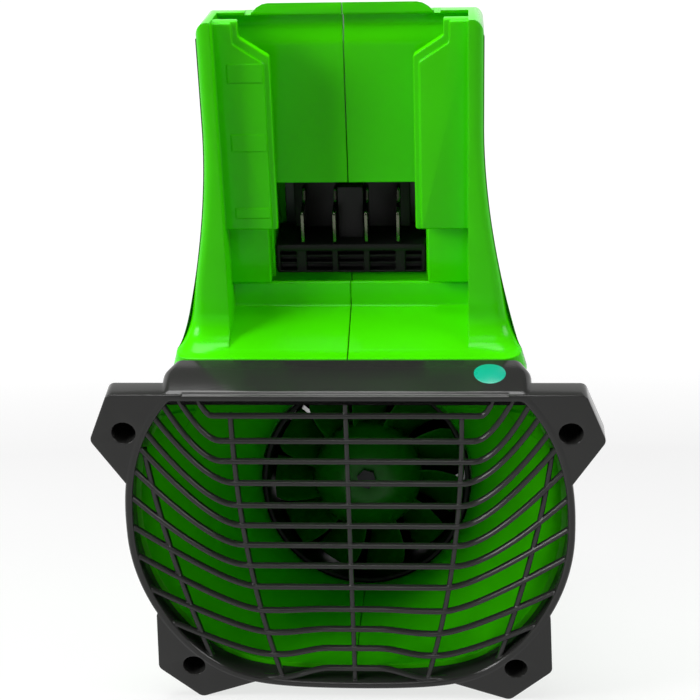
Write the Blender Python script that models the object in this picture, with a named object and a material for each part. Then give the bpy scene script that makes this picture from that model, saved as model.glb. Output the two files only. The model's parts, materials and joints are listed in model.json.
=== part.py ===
"""Cordless axial blower: rear intake, battery bay, top handle, fan duct and blow tube.

Units are metres, +Z up. The shape is worked out in the duct frame, whose origin is on
the duct's axis at the centre of the intake: X right, Y along the air flow, Z up. The
rear frame shares that origin but leans back by LEAN about X, because the intake and
the battery bay face backwards and down. The last step moves the whole machine so that
it stands on the floor with the world's origin under its middle.
"""
import math

import bmesh
import bpy
from mathutils import Matrix, Vector

# ---------------------------------------------------------------- driving dimensions
GAP = 0.0003                 # clearance between two pieces that touch
LEAN = math.radians(24)      # intake and battery bay lean back by this angle

# intake frame, in the rear frame: an oval cut flat above and below
FRAME_R = 0.0700             # half width of the frame's outline
FRAME_DROP = 0.0030          # the oval's centre lies this far below the duct's axis
FRAME_TOP = 0.0475
FRAME_BOTTOM = -0.0610
FRAME_RIM = 0.0024           # width of the frame's rim
FRAME_DEPTH = 0.0080
SQUARE_TOP = 2.4             # exponent of the oval's upper half, 2 is round
SQUARE_BOTTOM = 2.0
HOOD_REACH = 0.0180          # how far the hood runs forward over the housing
HOOD_RISE = 0.0025
HOOD_WALL = 0.0030
HOOD_HALF = 0.0555

# lugs and screws of the intake frame
EAR_HOLE_R = 0.0037
EAR_TOP_X, EAR_TOP_Z = 0.0677, 0.0342
EAR_LOW_X, EAR_LOW_Z = 0.0523, -0.0543
EAR_REACH = 0.0128           # hole centre to the ear's edge
EAR_SET_BACK = 0.0002
LUG_R = 0.0062
LUG_DEPTH = 0.0100

# grille bars
BAR_COUNT = 13
BAR_TOP = 0.0394
BAR_PITCH = 0.00796
BAR_WIDTH = 0.0016
BAR_DEPTH = 0.0018
BAR_SET_BACK = 0.0009
BAR_LEVEL_HALF = 0.0180      # a bar's middle stretch, up to its first bend
BAR_BENDS = 6                # points on the swept stretch of a bar
BAR_STEP = 0.0002            # step with which a bar's end is looked for
RIB_WIDTH = 0.0016
RIB_DEPTH = 0.0026
RIB_SET_BACK = 0.0016
INNER_RIB_X = 0.0350
OUTER_RIB_X = 0.0630

# airway and duct, along the duct's axis
BORE_R = 0.0380
DUCT_WALL = 0.0040
SHROUD_WALL = 0.0025
THROAT_Y = 0.0980            # the intake's funnel ends here
DUCT_END = 0.2140

# battery bay, in the rear frame
BAY_HALF = 0.0370
BAY_SIDE_WALL = 0.0042
BAY_RIM_Y = 0.0290
BAY_BACK_Y = 0.0480
BAY_TOP = 0.1538
BAY_FLARE = 0.0163           # how far the side walls spread at their foot
BAY_FLARE_TOP = 0.1200
TOWER_DEPTH = 0.0450
TOWER_FOOT_Z = 0.0120        # the tower runs down into the shroud to this height
TOWER_NARROW = 0.0260        # and is this much narrower there
TOWER_CORNER = 0.0060
CROWN_SLOPE = math.radians(55)
CROWN_WALL = 0.0045          # back wall's thickness behind its upper edge
SHELF_Z = 0.0520
LEDGE_Y = 0.0440
LEDGE_Z = 0.0630
RAIL_Y = 0.0315
RAIL_THICK = 0.0045
RAIL_INNER_X = 0.0210
RAIL_MOUTH_X = 0.0298
RAIL_LOW_Z = 0.0856
RAIL_STEP_Z = 0.1410
RAIL_CHAMFER = 0.0060

# terminal block, blades and board, in the rear frame
BLOCK_HALF = 0.0236
BLOCK_FRONT_Y = 0.0495
BLOCK_DEPTH = 0.0170
BLOCK_HEIGHT = 0.0100
BLOCK_PLATE = 0.0030
PLATE_TOP_Z = 0.0955
BLADE_COUNT = 4
BLADE_PITCH = 0.0100
BLADE_THICK = 0.0010
BLADE_HEIGHT = 0.0125
BLADE_DEPTH = 0.0100
WINDOW_HEIGHT = 0.0068
PIN_X = 0.0100
PIN_R = 0.0008
BOARD_THICK = 0.0016
BOARD_ROOM = 0.0040

# handle, in the duct frame
HANDLE_HALF = 0.0170
HANDLE_TOP = 0.1260
GRIP_HEIGHT = 0.0360
HANDLE_FRONT = 0.1880
HANDLE_ROUND = 0.0080
FRONT_LEG = 0.0300

# trigger and speed lever
TRIGGER_PIVOT_Y, TRIGGER_PIVOT_Z = 0.1380, 0.0975
TRIGGER_HALF = 0.0062
TRIGGER_LENGTH = 0.0330
TRIGGER_DROP = 0.0240
PIN_RADIUS = 0.0015
RUNNING = 0.0003             # radial clearance of the trigger on its pin
SLOT_CLEAR = 0.0006
LEVER_R = 0.0095
LEVER_THICK = 0.0050
LEVER_Y, LEVER_Z = 0.1590, 0.1010

# fan, motor and stator, along the duct's axis
FAN_Y = 0.1020
FAN_LENGTH = 0.0240
HUB_R = 0.0200
TIP_GAP = 0.0010
BLADES = 11
BLADE_CHORD = 0.0190
BLADE_SKIN = 0.0018
PITCH_ROOT = math.radians(55)
PITCH_TIP = math.radians(36)
SHAFT_R = 0.0025
SHAFT_CLEAR = 0.00005
NOSE_SCREW_R = 0.0042
MOTOR_R = 0.0175
MOTOR_LENGTH = 0.0420
MOTOR_GAP = 0.0040           # fan's back to the motor's face
BEARING_R = 0.0080
BEARING_LENGTH = 0.0050
CUP_WALL = 0.0018
STATOR_LENGTH = 0.0160
VANES = 7
VANE_THICK = 0.0018
RING_WALL = 0.0018
CONE_LENGTH = 0.0250
CONE_TIP_R = 0.0060

# blow tube and its lock
SPIGOT_LENGTH = 0.0160
TUBE_WALL = 0.0022
TUBE_LENGTH = 0.2600
TUBE_TIP_R = 0.0290
COLLAR_LENGTH = 0.0120
BUTTON_R = 0.0042
BUTTON_CLEAR = 0.0004
BUTTON_HEAD_R = 0.0070
BUTTON_TRAVEL = 0.0025
BUTTON_BACK = 0.0080         # button's axis to the duct's end

# foot and housing screws
FOOT_Y = 0.1600
FOOT_LENGTH = 0.0400
FOOT_HALF = 0.0200
SCREW_R = 0.0018
SCREW_HEAD_R = 0.0034
SCREW_HEAD = 0.0024
SCREW_LENGTH = 0.0160

STEPS = 40                   # facets round the airway
REAR = Matrix.Rotation(LEAN, 4, "X")


# ---------------------------------------------------------------- helpers
def clear_scene():
    for thing in list(bpy.data.objects):
        bpy.data.objects.remove(thing, do_unlink=True)


def finish(name, colour, roughness, metallic=0.0):
    """A plain material of one colour."""
    made = bpy.data.materials.new(name)
    made.use_nodes = True
    shader = made.node_tree.nodes["Principled BSDF"]
    shader.inputs["Base Color"].default_value = (*colour, 1)
    shader.inputs["Roughness"].default_value = roughness
    shader.inputs["Metallic"].default_value = metallic
    return made


def solid(name, mesh_data, matrix=None):
    """An object from a bmesh, with its faces turned outwards."""
    if matrix is not None:
        mesh_data.transform(matrix)
    bmesh.ops.recalc_face_normals(mesh_data, faces=mesh_data.faces)
    mesh = bpy.data.meshes.new(name)
    mesh_data.to_mesh(mesh)
    mesh_data.free()
    made = bpy.data.objects.new(name, mesh)
    bpy.context.scene.collection.objects.link(made)
    return made


def loft(rings, matrix=None, name="loft"):
    """A closed body through rings of the same number of points."""
    shape = bmesh.new()
    rows = [[shape.verts.new(point) for point in ring] for ring in rings]
    count = len(rows[0])
    for low, high in zip(rows, rows[1:]):
        for i in range(count):
            j = (i + 1) % count
            shape.faces.new((low[i], low[j], high[j], high[i]))
    shape.faces.new(rows[0])
    shape.faces.new(rows[-1])
    return solid(name, shape, matrix)


def turned(profile, matrix=None, steps=STEPS, name="turned"):
    """A body turned about the duct's axis from a closed profile of (radius, y)."""
    shape = bmesh.new()
    rows = []
    for k in range(steps):
        angle = 2 * math.pi * k / steps
        rows.append([
            shape.verts.new((r * math.cos(angle), y, r * math.sin(angle))) for r, y in profile
        ])
    count = len(profile)
    for k in range(steps):
        this, after = rows[k], rows[(k + 1) % steps]
        for i in range(count):
            j = (i + 1) % count
            shape.faces.new((this[i], this[j], after[j], after[i]))
    bmesh.ops.remove_doubles(shape, verts=shape.verts, dist=1e-7)
    bmesh.ops.dissolve_degenerate(shape, edges=shape.edges, dist=1e-7)
    return solid(name, shape, matrix)


def plate(outline, low, high, across="Y", matrix=None, name="plate"):
    """A body from a flat outline, extruded along one axis from low to high."""
    def place(point, depth):
        a, b = point
        return {"X": (depth, a, b), "Y": (a, depth, b), "Z": (a, b, depth)}[across]
    return loft([[place(p, low) for p in outline], [place(p, high) for p in outline]],
                matrix, name)


def box(x_range, y_range, z_range, matrix=None):
    (x0, x1), y_span, z_span = x_range, y_range, z_range
    outline = [(y_span[0], z_span[0]), (y_span[1], z_span[0]),
               (y_span[1], z_span[1]), (y_span[0], z_span[1])]
    return plate(outline, x0, x1, "X", matrix)


def rod(radius, start, end, matrix=None, steps=16, name="rod"):
    """A round bar between two points."""
    start, end = Vector(start), Vector(end)
    axis = (end - start).normalized()
    side = axis.orthogonal().normalized()
    other = axis.cross(side)
    rings = []
    for centre in (start, end):
        rings.append([
            centre + radius * (math.cos(a) * side + math.sin(a) * other)
            for a in (2 * math.pi * k / steps for k in range(steps))
        ])
    return loft(rings, matrix, name)


def rounded(corners, steps=4):
    """An outline with each corner (a, b, radius) rounded by an arc."""
    points = []
    count = len(corners)
    for i, (a, b, radius) in enumerate(corners):
        here = Vector((a, b))
        if radius <= 0:
            points.append((a, b))
            continue
        before = (Vector(corners[i - 1][:2]) - here).normalized()
        after = (Vector(corners[(i + 1) % count][:2]) - here).normalized()
        half = before.angle(after) / 2
        reach = radius / math.tan(half)
        centre = here + (before + after).normalized() * radius / math.sin(half)
        start = here + before * reach - centre
        turn = start.angle_signed(here + after * reach - centre)
        for k in range(steps + 1):
            angle = -turn * k / steps
            spin = Matrix.Rotation(angle, 2)
            point = centre + spin @ start
            points.append((point.x, point.y))
    return points


def combine(body, tools, operation):
    """Union with, or cut away, a list of solids. The tools are used up."""
    for tool in tools:
        step = body.modifiers.new("step", "BOOLEAN")
        step.operation = operation
        step.object = tool
        step.solver = "EXACT"
        shape = body.evaluated_get(bpy.context.evaluated_depsgraph_get())
        mesh = bpy.data.meshes.new_from_object(shape)
        body.modifiers.clear()
        body.data = mesh
        bpy.data.objects.remove(tool, do_unlink=True)
    return body


def join(body, *tools):
    return combine(body, tools, "UNION")


def cut(body, *tools):
    return combine(body, tools, "DIFFERENCE")


def name_piece(piece, name, material, sharp=35):
    piece.name = name
    piece.data.name = name
    piece.data.materials.clear()
    piece.data.materials.append(material)
    piece.data.shade_smooth()
    piece.data.set_sharp_from_angle(angle=math.radians(sharp))
    return piece


def ramp(value, low, high):
    """0 below low, 1 above high, smooth between."""
    t = min(1.0, max(0.0, (value - low) / (high - low)))
    return t * t * (3 - 2 * t)


def blend(a, b, t):
    return a + (b - a) * t


# ---------------------------------------------------------------- intake outline
def oval(angle, inset, top=FRAME_TOP, bottom=FRAME_BOTTOM):
    """A point (x, z) of the intake's outline in the rear frame, drawn in by inset."""
    c, s = math.cos(angle), math.sin(angle)
    power = 2 / (SQUARE_TOP if s > 0 else SQUARE_BOTTOM)
    size = FRAME_R - inset
    x = math.copysign(abs(c) ** power, c) * size
    z = math.copysign(abs(s) ** power, s) * size - FRAME_DROP
    return x, min(top - inset, max(bottom + inset, z))


def oval_half_width(z, inset):
    """Half the outline's width at height z, drawn in by inset."""
    power = SQUARE_TOP if z > -FRAME_DROP else SQUARE_BOTTOM
    size = FRAME_R - inset
    share = min(1.0, abs(z + FRAME_DROP) / size)
    return size * (1 - share ** power) ** (1 / power)


def angles(count=STEPS):
    return [2 * math.pi * (k + 0.5) / count for k in range(count)]


def funnel(inset, back_y, radius, front_y, top, levels=7):
    """Rings from the tilted intake outline to a round section of the duct."""
    rings = []
    for level in range(levels):
        t = level / (levels - 1)
        width = math.sin(t * math.pi / 2) ** 1.15
        ring = []
        for angle in angles():
            x, z = oval(angle, inset, top=top)
            start = REAR @ Vector((x, back_y, z))
            stop = Vector((radius * math.cos(angle), front_y, radius * math.sin(angle)))
            ring.append((
                blend(start.x, stop.x, width),
                blend(start.y, stop.y, t),
                blend(start.z, stop.z, width),
            ))
        rings.append(ring)
    return rings


# ---------------------------------------------------------------- intake grille
def bar_height(index, x):
    """Height of a bar at x: level in the middle, swept up towards both sides."""
    base = BAR_TOP - BAR_PITCH * index
    start = rib_half_x(base, INNER_RIB_X, 0.0115, 2.2)
    steep = min(1.6, max(0.65, 1.6 - 19.0 * (0.0153 - base)))
    out = max(0.0, abs(x) - start)
    rise = steep * out * out / (out + 0.010)
    low = max(0.0, (index - 8) / 4)
    dip = 0.0038 * low ** 1.3 * ramp(abs(x), 0.008, 0.024)
    return base + rise - dip


def rib_half_x(z, top_x, pull, power):
    """How far an upright rib stands from the middle at height z."""
    t = min(1.0, max(0.0, (BAR_TOP - z) / (BAR_TOP - FRAME_BOTTOM)))
    return top_x - pull * t ** power


def strip(path, width, low_y, high_y):
    """A bar of square section along a path of (x, z) points in the rear frame."""
    rings = []
    for i, point in enumerate(path):
        before, after = Vector(path[max(0, i - 1)]), Vector(path[min(len(path) - 1, i + 1)])
        along = (after - before).normalized()
        side = Vector((-along.y, along.x)) * width / 2
        centre = Vector(point)
        a, b = centre + side, centre - side
        rings.append([(a.x, low_y, a.y), (b.x, low_y, b.y), (b.x, high_y, b.y), (a.x, high_y, a.y)])
    return loft(rings)


def bar_path(index):
    """From the middle outwards until the bar is inside the rim, then mirrored."""
    ceiling = FRAME_TOP - HOOD_WALL * 0.5
    end = 0.0
    while True:
        z = bar_height(index, end)
        if z > ceiling or end > oval_half_width(z, FRAME_RIM * 0.4):
            break
        end += BAR_STEP
    level = BAR_LEVEL_HALF
    count = BAR_BENDS
    half = [(x, bar_height(index, x)) for x in (0.0, level / 2, level)]
    half += [(x, bar_height(index, x))
             for x in (blend(level, end, k / count) for k in range(1, count + 1))]
    return [(-x, z) for x, z in reversed(half[1:])] + half


def rib_path(side, top_x, pull, power, top_z, bottom_z):
    count = 9
    heights = [blend(top_z, bottom_z, k / (count - 1)) for k in range(count)]
    return [(side * rib_half_x(z, top_x, pull, power), z) for z in heights]


def ear_outlines():
    """The four ears on the right side and, mirrored, on the left."""
    top = [(FRAME_R * 0.70, FRAME_TOP, 0), (EAR_TOP_X + 0.0042, FRAME_TOP, 0.0022),
           (EAR_TOP_X + 0.0107, EAR_TOP_Z - 0.0027, 0.0028), (0.0684, 0.0156, 0),
           (0.0560, 0.0200, 0)]
    low = [(0.0630, -0.0330, 0), (EAR_LOW_X + 0.0117, EAR_LOW_Z - 0.0010, 0.0028),
           (EAR_LOW_X - 0.0018, EAR_LOW_Z - EAR_REACH, 0.0025), (0.0320, FRAME_BOTTOM, 0),
           (0.0300, -0.0450, 0)]
    right = [rounded(top), rounded(low)]
    return right + [[(-x, z) for x, z in outline] for outline in right]


def ear_holes():
    return [(side * x, z) for x, z in ((EAR_TOP_X, EAR_TOP_Z), (EAR_LOW_X, EAR_LOW_Z))
            for side in (1, -1)]


def make_grille(grey):
    rim = [oval(a, 0) for a in angles()]
    mouth = [oval(a, FRAME_RIM) for a in angles()]
    low_mouth = [(x, min(z, FRAME_TOP - HOOD_WALL)) for x, z in mouth]
    body = plate(rim, 0, FRAME_DEPTH, "Y")
    for outline in ear_outlines():
        join(body, plate(outline, EAR_SET_BACK, FRAME_DEPTH, "Y"))
    hood_back = HOOD_REACH
    under = FRAME_TOP - HOOD_WALL + 0.0002
    hood = []
    for y in (0.0004, hood_back):
        lift = HOOD_RISE * y / hood_back
        hood.append([(x, y, z) for x, z in rounded([
            (HOOD_HALF, under, 0), (HOOD_HALF, FRAME_TOP + lift, 0.0025),
            (-HOOD_HALF, FRAME_TOP + lift, 0.0025), (-HOOD_HALF, under, 0)])])
    join(body, loft(hood))
    cut(body, plate(low_mouth, -0.002, FRAME_DEPTH + 0.002, "Y"))
    for x, z in ear_holes():
        cut(body, rod(EAR_HOLE_R, (x, -0.002, z), (x, FRAME_DEPTH + 0.002, z), None, 20))
    low_y = BAR_SET_BACK
    for index in range(BAR_COUNT):
        join(body, strip(bar_path(index), BAR_WIDTH, low_y, low_y + BAR_DEPTH))
    top = FRAME_TOP - HOOD_WALL * 0.5
    low_y = RIB_SET_BACK
    join(body, strip([(0, top), (0, FRAME_BOTTOM + FRAME_RIM * 0.5)], RIB_WIDTH, low_y,
                     low_y + RIB_DEPTH))
    for side in (1, -1):
        inner = rib_path(side, INNER_RIB_X, 0.0115, 2.2, BAR_TOP, FRAME_BOTTOM + FRAME_RIM * 0.5)
        outer = rib_path(side, OUTER_RIB_X, 0.0190, 1.6, 0.0270, -0.0535)
        for path in (inner, outer):
            join(body, strip(path, RIB_WIDTH, low_y, low_y + RIB_DEPTH))
    body.data.transform(REAR)
    return name_piece(body, "intake_grille", grey)


# ---------------------------------------------------------------- housing
def tower_half_width(z):
    """Half the outer width of the bay's tower at height z of the rear frame."""
    rise = min(1.0, max(0.0, (BAY_FLARE_TOP - z) / (BAY_FLARE_TOP - 0.043)))
    return BAY_HALF + BAY_SIDE_WALL + BAY_FLARE * rise ** 1.8


def tower_ring(z):
    """A rounded section of the tower at height z of the rear frame."""
    half = tower_half_width(z)
    half -= TOWER_NARROW * (1 - ramp(z, TOWER_FOOT_Z - 0.010, FRAME_TOP - 0.004))
    shelf = ramp(z, SHELF_Z - 0.003, SHELF_Z + 0.003)
    back = blend(HOOD_REACH + GAP, BAY_RIM_Y, shelf)
    front = BAY_RIM_Y + TOWER_DEPTH
    corner = TOWER_CORNER
    outline = rounded([(-half, back, corner), (half, back, corner),
                       (half, front, corner * 2), (-half, front, corner * 2)])
    return [(x, y, z) for x, y in outline]


def make_tower():
    heights = [TOWER_FOOT_Z, 0.024, 0.034, 0.043, SHELF_Z - 0.003, SHELF_Z - 0.001, SHELF_Z + 0.001, SHELF_Z + 0.003,
               0.062, 0.074, 0.088, 0.104, BAY_FLARE_TOP, BAY_TOP]
    return loft([tower_ring(z) for z in heights], REAR)


def crown_cut():
    """What is cut off the tower's top, so that it falls away towards the handle."""
    start = BAY_BACK_Y + 0.003 + CROWN_WALL
    far = BAY_RIM_Y + TOWER_DEPTH + 0.010
    drop = (far - start) * math.tan(CROWN_SLOPE)
    outline = rounded([(start - 0.006, BAY_TOP + 0.020, 0), (start - 0.006, BAY_TOP - 0.0010, 0),
                       (start, BAY_TOP - 0.0035, 0.006), (far, BAY_TOP - 0.0035 - drop, 0),
                       (far, BAY_TOP + 0.020, 0)], 3)
    return plate(outline, -0.1, 0.1, "X", REAR)


def cut_bay(body):
    """The battery bay, its rails, and the pocket for the terminal block and board."""
    back = BAY_BACK_Y
    far = BAY_TOP + 0.02
    bay = [(0, SHELF_Z + 0.0005), (LEDGE_Y, SHELF_Z + 0.0020), (LEDGE_Y, LEDGE_Z), (back, LEDGE_Z),
           (back, RAIL_STEP_Z), (back + 0.003, RAIL_STEP_Z + 0.005),
           (back + 0.003, BAY_TOP - 0.005), (back - 0.0015, BAY_TOP - 0.004), (back - 0.0015, far),
           (0, far)]
    cut(body, plate(bay, -BAY_HALF, BAY_HALF, "X", REAR))
    rail = [(BAY_HALF + 0.001, RAIL_LOW_Z), (RAIL_INNER_X, RAIL_LOW_Z),
            (RAIL_INNER_X, RAIL_STEP_Z), (RAIL_MOUTH_X, RAIL_STEP_Z + RAIL_CHAMFER),
            (RAIL_MOUTH_X, BAY_TOP - 0.0015), (BAY_HALF + 0.001, BAY_TOP - 0.0015)]
    for side in (1, -1):
        outline = [(side * x, z) for x, z in rail]
        join(body, plate(outline, RAIL_Y, RAIL_Y + RAIL_THICK, "Y", REAR))
    pocket_y = BLOCK_FRONT_Y + BLOCK_DEPTH + BOARD_ROOM
    cut(body, box((-BLOCK_HALF - GAP, BLOCK_HALF + GAP), (back - 0.002, pocket_y),
                  (LEDGE_Z + 0.0005, PLATE_TOP_Z + GAP), REAR))


def make_handle():
    """The grip and its front leg, from the side, with rounded edges."""
    low = HANDLE_TOP - GRIP_HEIGHT
    duct_top = BORE_R + DUCT_WALL - 0.008
    outline = rounded([
        (0.023, HANDLE_TOP, 0), (HANDLE_FRONT - 0.020, HANDLE_TOP - 0.004, 0.024),
        (HANDLE_FRONT, HANDLE_TOP - 0.045, 0.030), (HANDLE_FRONT + 0.004, duct_top, 0),
        (HANDLE_FRONT - FRONT_LEG, duct_top, 0),
        (HANDLE_FRONT - FRONT_LEG - 0.004, low - 0.006, 0.014),
        (0.068, low, 0.012), (0.060, low - 0.014, 0), (0.046, low - 0.012, 0)], 6)
    grip = plate(outline, -HANDLE_HALF, HANDLE_HALF, "X")
    edge = grip.modifiers.new("round", "BEVEL")
    edge.width = HANDLE_ROUND
    edge.segments = 3
    edge.limit_method = "ANGLE"
    edge.angle_limit = math.radians(50)
    shape = grip.evaluated_get(bpy.context.evaluated_depsgraph_get())
    mesh = bpy.data.meshes.new_from_object(shape)
    grip.modifiers.clear()
    grip.data = mesh
    return grip


def axis_height():
    """The duct's axis above the floor: the lower ears stand on the floor."""
    lowest = min(z for outline in ear_outlines() for _, z in outline)
    return -lowest * math.cos(LEAN) - EAR_SET_BACK * math.sin(LEAN)


def middle_y():
    """The middle of the whole length, from the bay's upper edge to the tube's tip."""
    rear = BAY_RIM_Y * math.cos(LEAN) - BAY_TOP * math.sin(LEAN)
    return (rear + DUCT_END + GAP + TUBE_LENGTH) / 2


def housing_screws():
    """Places (y, z) in the duct frame and the head's seat from the seam."""
    def rear(y, z):
        point = REAR @ Vector((0, y, z))
        return point.y, point.z
    tower_y = BAY_BACK_Y + 0.0085
    return [
        (*rear(tower_y, BAY_TOP - 0.021), 0.020),
        (*rear(tower_y + 0.004, PLATE_TOP_Z + 0.012), 0.024),
        (0.085, HANDLE_TOP - GRIP_HEIGHT / 2, 0.009),
        (HANDLE_FRONT - FRONT_LEG / 2, 0.060, 0.009),
        (FOOT_Y - 0.012, -BORE_R - DUCT_WALL - 0.009, 0.012),
        (FOOT_Y + 0.012, -BORE_R - DUCT_WALL - 0.009, 0.012),
    ]


def make_housing(green):
    """Both halves: shroud, duct, tower, handle and foot, hollowed and split at the seam."""
    back = FRAME_DEPTH + GAP
    outer_r = BORE_R + DUCT_WALL
    top = FRAME_TOP - HOOD_WALL - GAP
    outside = funnel(FRAME_RIM * 0.6, back, outer_r, THROAT_Y + 0.012, top + FRAME_RIM * 0.6)
    duct_ring = [[(outer_r * math.cos(a), y, outer_r * math.sin(a)) for a in angles()]
                 for y in (DUCT_END - 0.004, DUCT_END)]
    body = loft(outside + duct_ring)
    join(body, cut(make_tower(), crown_cut()), make_handle())
    foot_top = -outer_r + 0.010
    foot = [(FOOT_Y - FOOT_LENGTH / 2 - 0.010, foot_top, 0),
            (FOOT_Y - FOOT_LENGTH / 2, -axis_height(), 0.003),
            (FOOT_Y + FOOT_LENGTH / 2, -axis_height(), 0.003),
            (FOOT_Y + FOOT_LENGTH / 2 + 0.006, foot_top, 0)]
    join(body, plate(rounded(foot), -FOOT_HALF, FOOT_HALF, "X"))
    for x, z in ear_holes():
        inward = Vector((x, z)) * 0.74
        rings = []
        for y in (back, back + LUG_DEPTH):
            side = Vector((-z, x)).normalized() * LUG_R
            out = Vector((x, z)).normalized()
            turn = math.atan2(out.y, out.x)
            arc = [(x + LUG_R * math.cos(turn + a), z + LUG_R * math.sin(turn + a))
                   for a in (math.pi * (k / 10 - 0.5) for k in range(11))]
            foot_points = [tuple(inward + side), tuple(inward - side)]
            rings.append([(p[0], y, p[1]) for p in arc + foot_points])
        join(body, loft(rings, REAR))
    cut_bay(body)
    inset = FRAME_RIM * 0.6 + SHROUD_WALL
    inside = funnel(inset, back - 0.003, BORE_R, THROAT_Y, top + FRAME_RIM * 0.6)
    bore = [[(BORE_R * math.cos(a), DUCT_END + 0.005, BORE_R * math.sin(a)) for a in angles()]]
    cut(body, loft(inside + bore))
    for x, z in ear_holes():
        seat = back + LUG_DEPTH - 0.003
        cut(body, rod(EAR_HOLE_R, (x, back - 0.002, z), (x, seat, z), REAR, 20),
            rod(SCREW_R + GAP, (x, seat - 0.001, z), (x, back + LUG_DEPTH + 0.030, z), REAR, 12))
    trigger_room(body)
    lever_hole(body)
    button_z = outer_r + 0.006
    cut(body, rod(BUTTON_R + BUTTON_CLEAR, (0, DUCT_END - BUTTON_BACK, BORE_R - 0.004),
                  (0, DUCT_END - BUTTON_BACK, button_z), None, 16))
    for y, z, seat in housing_screws():
        cut(body, rod(SCREW_HEAD_R + GAP, (seat, y, z), (0.080, y, z), None, 16),
            rod(SCREW_R + GAP, (seat + 0.001, y, z), (seat - SCREW_LENGTH - 0.001, y, z), None, 12))
    halves = []
    for side, name in ((-1, "housing_left"), (1, "housing_right")):
        half = bpy.data.objects.new(name, body.data.copy())
        bpy.context.scene.collection.objects.link(half)
        spans = sorted((side * GAP / 2, -side * 0.2))
        cut(half, box(tuple(spans), (-0.2, 0.4), (-0.2, 0.4)))
        halves.append(name_piece(half, name, green))
    bpy.data.objects.remove(body, do_unlink=True)
    return halves


def trigger_room(body):
    """The slot under the grip for the trigger, its pin and its switch."""
    low = HANDLE_TOP - GRIP_HEIGHT
    half = TRIGGER_HALF + SLOT_CLEAR
    front = TRIGGER_PIVOT_Y + 0.007
    back = TRIGGER_PIVOT_Y - TRIGGER_LENGTH - 0.004
    cut(body, box((-half, half), (back, front), (low - 0.012, HANDLE_TOP - 0.010)),
        rod(PIN_RADIUS + 0.0001, (-HANDLE_HALF + 0.004, TRIGGER_PIVOT_Y, TRIGGER_PIVOT_Z),
            (HANDLE_HALF - 0.004, TRIGGER_PIVOT_Y, TRIGGER_PIVOT_Z)))


def lever_hole(body):
    """A blind round hole in the left side for the speed lever's stub."""
    cut(body, rod(LEVER_R * 0.45 + GAP, (-HANDLE_HALF - 0.002, LEVER_Y, LEVER_Z),
                  (-HANDLE_HALF + 0.006, LEVER_Y, LEVER_Z), None, 20))


# ---------------------------------------------------------------- screws and terminals
def make_screw(name, place, direction, steel):
    """A pan head screw: place is the underside of its head."""
    start = Vector(place)
    along = Vector(direction).normalized()
    body = rod(SCREW_HEAD_R, start - along * SCREW_HEAD, start, None, 12)
    join(body, rod(SCREW_R, start - along * 0.0005, start + along * (SCREW_LENGTH - 0.002), None, 8))
    slot_side = along.orthogonal().normalized() * SCREW_HEAD_R
    width = along.cross(slot_side).normalized() * 0.0005
    top = start - along * (SCREW_HEAD + 0.001)
    for turn in (0, 90):
        spin = Matrix.Rotation(math.radians(turn), 3, along)
        a, b = spin @ slot_side * 0.62, spin @ width
        ring = [top + a + b, top + a - b, top - a - b, top - a + b]
        cut(body, loft([ring, [p + along * 0.0022 for p in ring]]))
    return name_piece(body, name, steel)


def make_terminals(black, metal, board_green):
    base = LEDGE_Z + 0.0005 + GAP
    top = base + BLOCK_HEIGHT
    front, back = BLOCK_FRONT_Y, BLOCK_FRONT_Y + BLOCK_DEPTH
    body = box((-BLOCK_HALF, BLOCK_HALF), (front, back), (base, top))
    join(body, box((-BLOCK_HALF, BLOCK_HALF), (back - BLOCK_PLATE, back - 0.0001),
                   (top - 0.001, PLATE_TOP_Z)))
    cells = BLADE_COUNT + 1
    wall = 0.0030
    width = BLADE_PITCH - wall
    low = base + (BLOCK_HEIGHT - WINDOW_HEIGHT) / 2
    for cell in range(cells):
        middle = (cell - (cells - 1) / 2) * BLADE_PITCH
        edge = 0.0025 if abs(middle) > BLADE_PITCH * 1.5 else 0.0
        shift = -math.copysign(edge / 2, middle) if edge else 0.0
        half = (width - edge) / 2
        slit = WINDOW_HEIGHT / 3
        for row in range(3):
            z = low + slit * row
            cut(body, box((middle + shift - half, middle + shift + half), (front - 0.001, front + 0.003),
                          (z + 0.0003, z + slit - 0.0003)))
    blades = []
    blade_back = back - BLOCK_PLATE - GAP
    for k in range(BLADE_COUNT):
        x = (k - (BLADE_COUNT - 1) / 2) * BLADE_PITCH
        low_z = top + GAP
        blade = plate(rounded([
            (front + 0.0008, low_z, 0), (blade_back, low_z, 0),
            (blade_back, low_z + BLADE_HEIGHT + 0.006, 0),
            (blade_back - 0.003, low_z + BLADE_HEIGHT + 0.006, 0),
            (front + 0.0008, low_z + BLADE_HEIGHT, 0.001)], 3),
            x - BLADE_THICK / 2, x + BLADE_THICK / 2, "X")
        blades.append(name_piece(blade, f"contact_blade_{k + 1}", metal))
    for k, side in enumerate((-1, 1)):
        z = PLATE_TOP_Z - 0.004
        pin = rod(PIN_R, (side * PIN_X, blade_back - 0.004, z), (side * PIN_X, blade_back, z), None, 8)
        blades.append(name_piece(pin, f"signal_pin_{k + 1}", metal))
    board = box((-BLOCK_HALF + 0.002, BLOCK_HALF - 0.002), (back + GAP, back + GAP + BOARD_THICK),
                (base + 0.002, PLATE_TOP_Z - 0.002))
    pieces = [name_piece(body, "terminal_block", black), *blades,
              name_piece(board, "control_board", board_green)]
    for piece in pieces:
        piece.data.transform(REAR)
    return pieces


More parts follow.
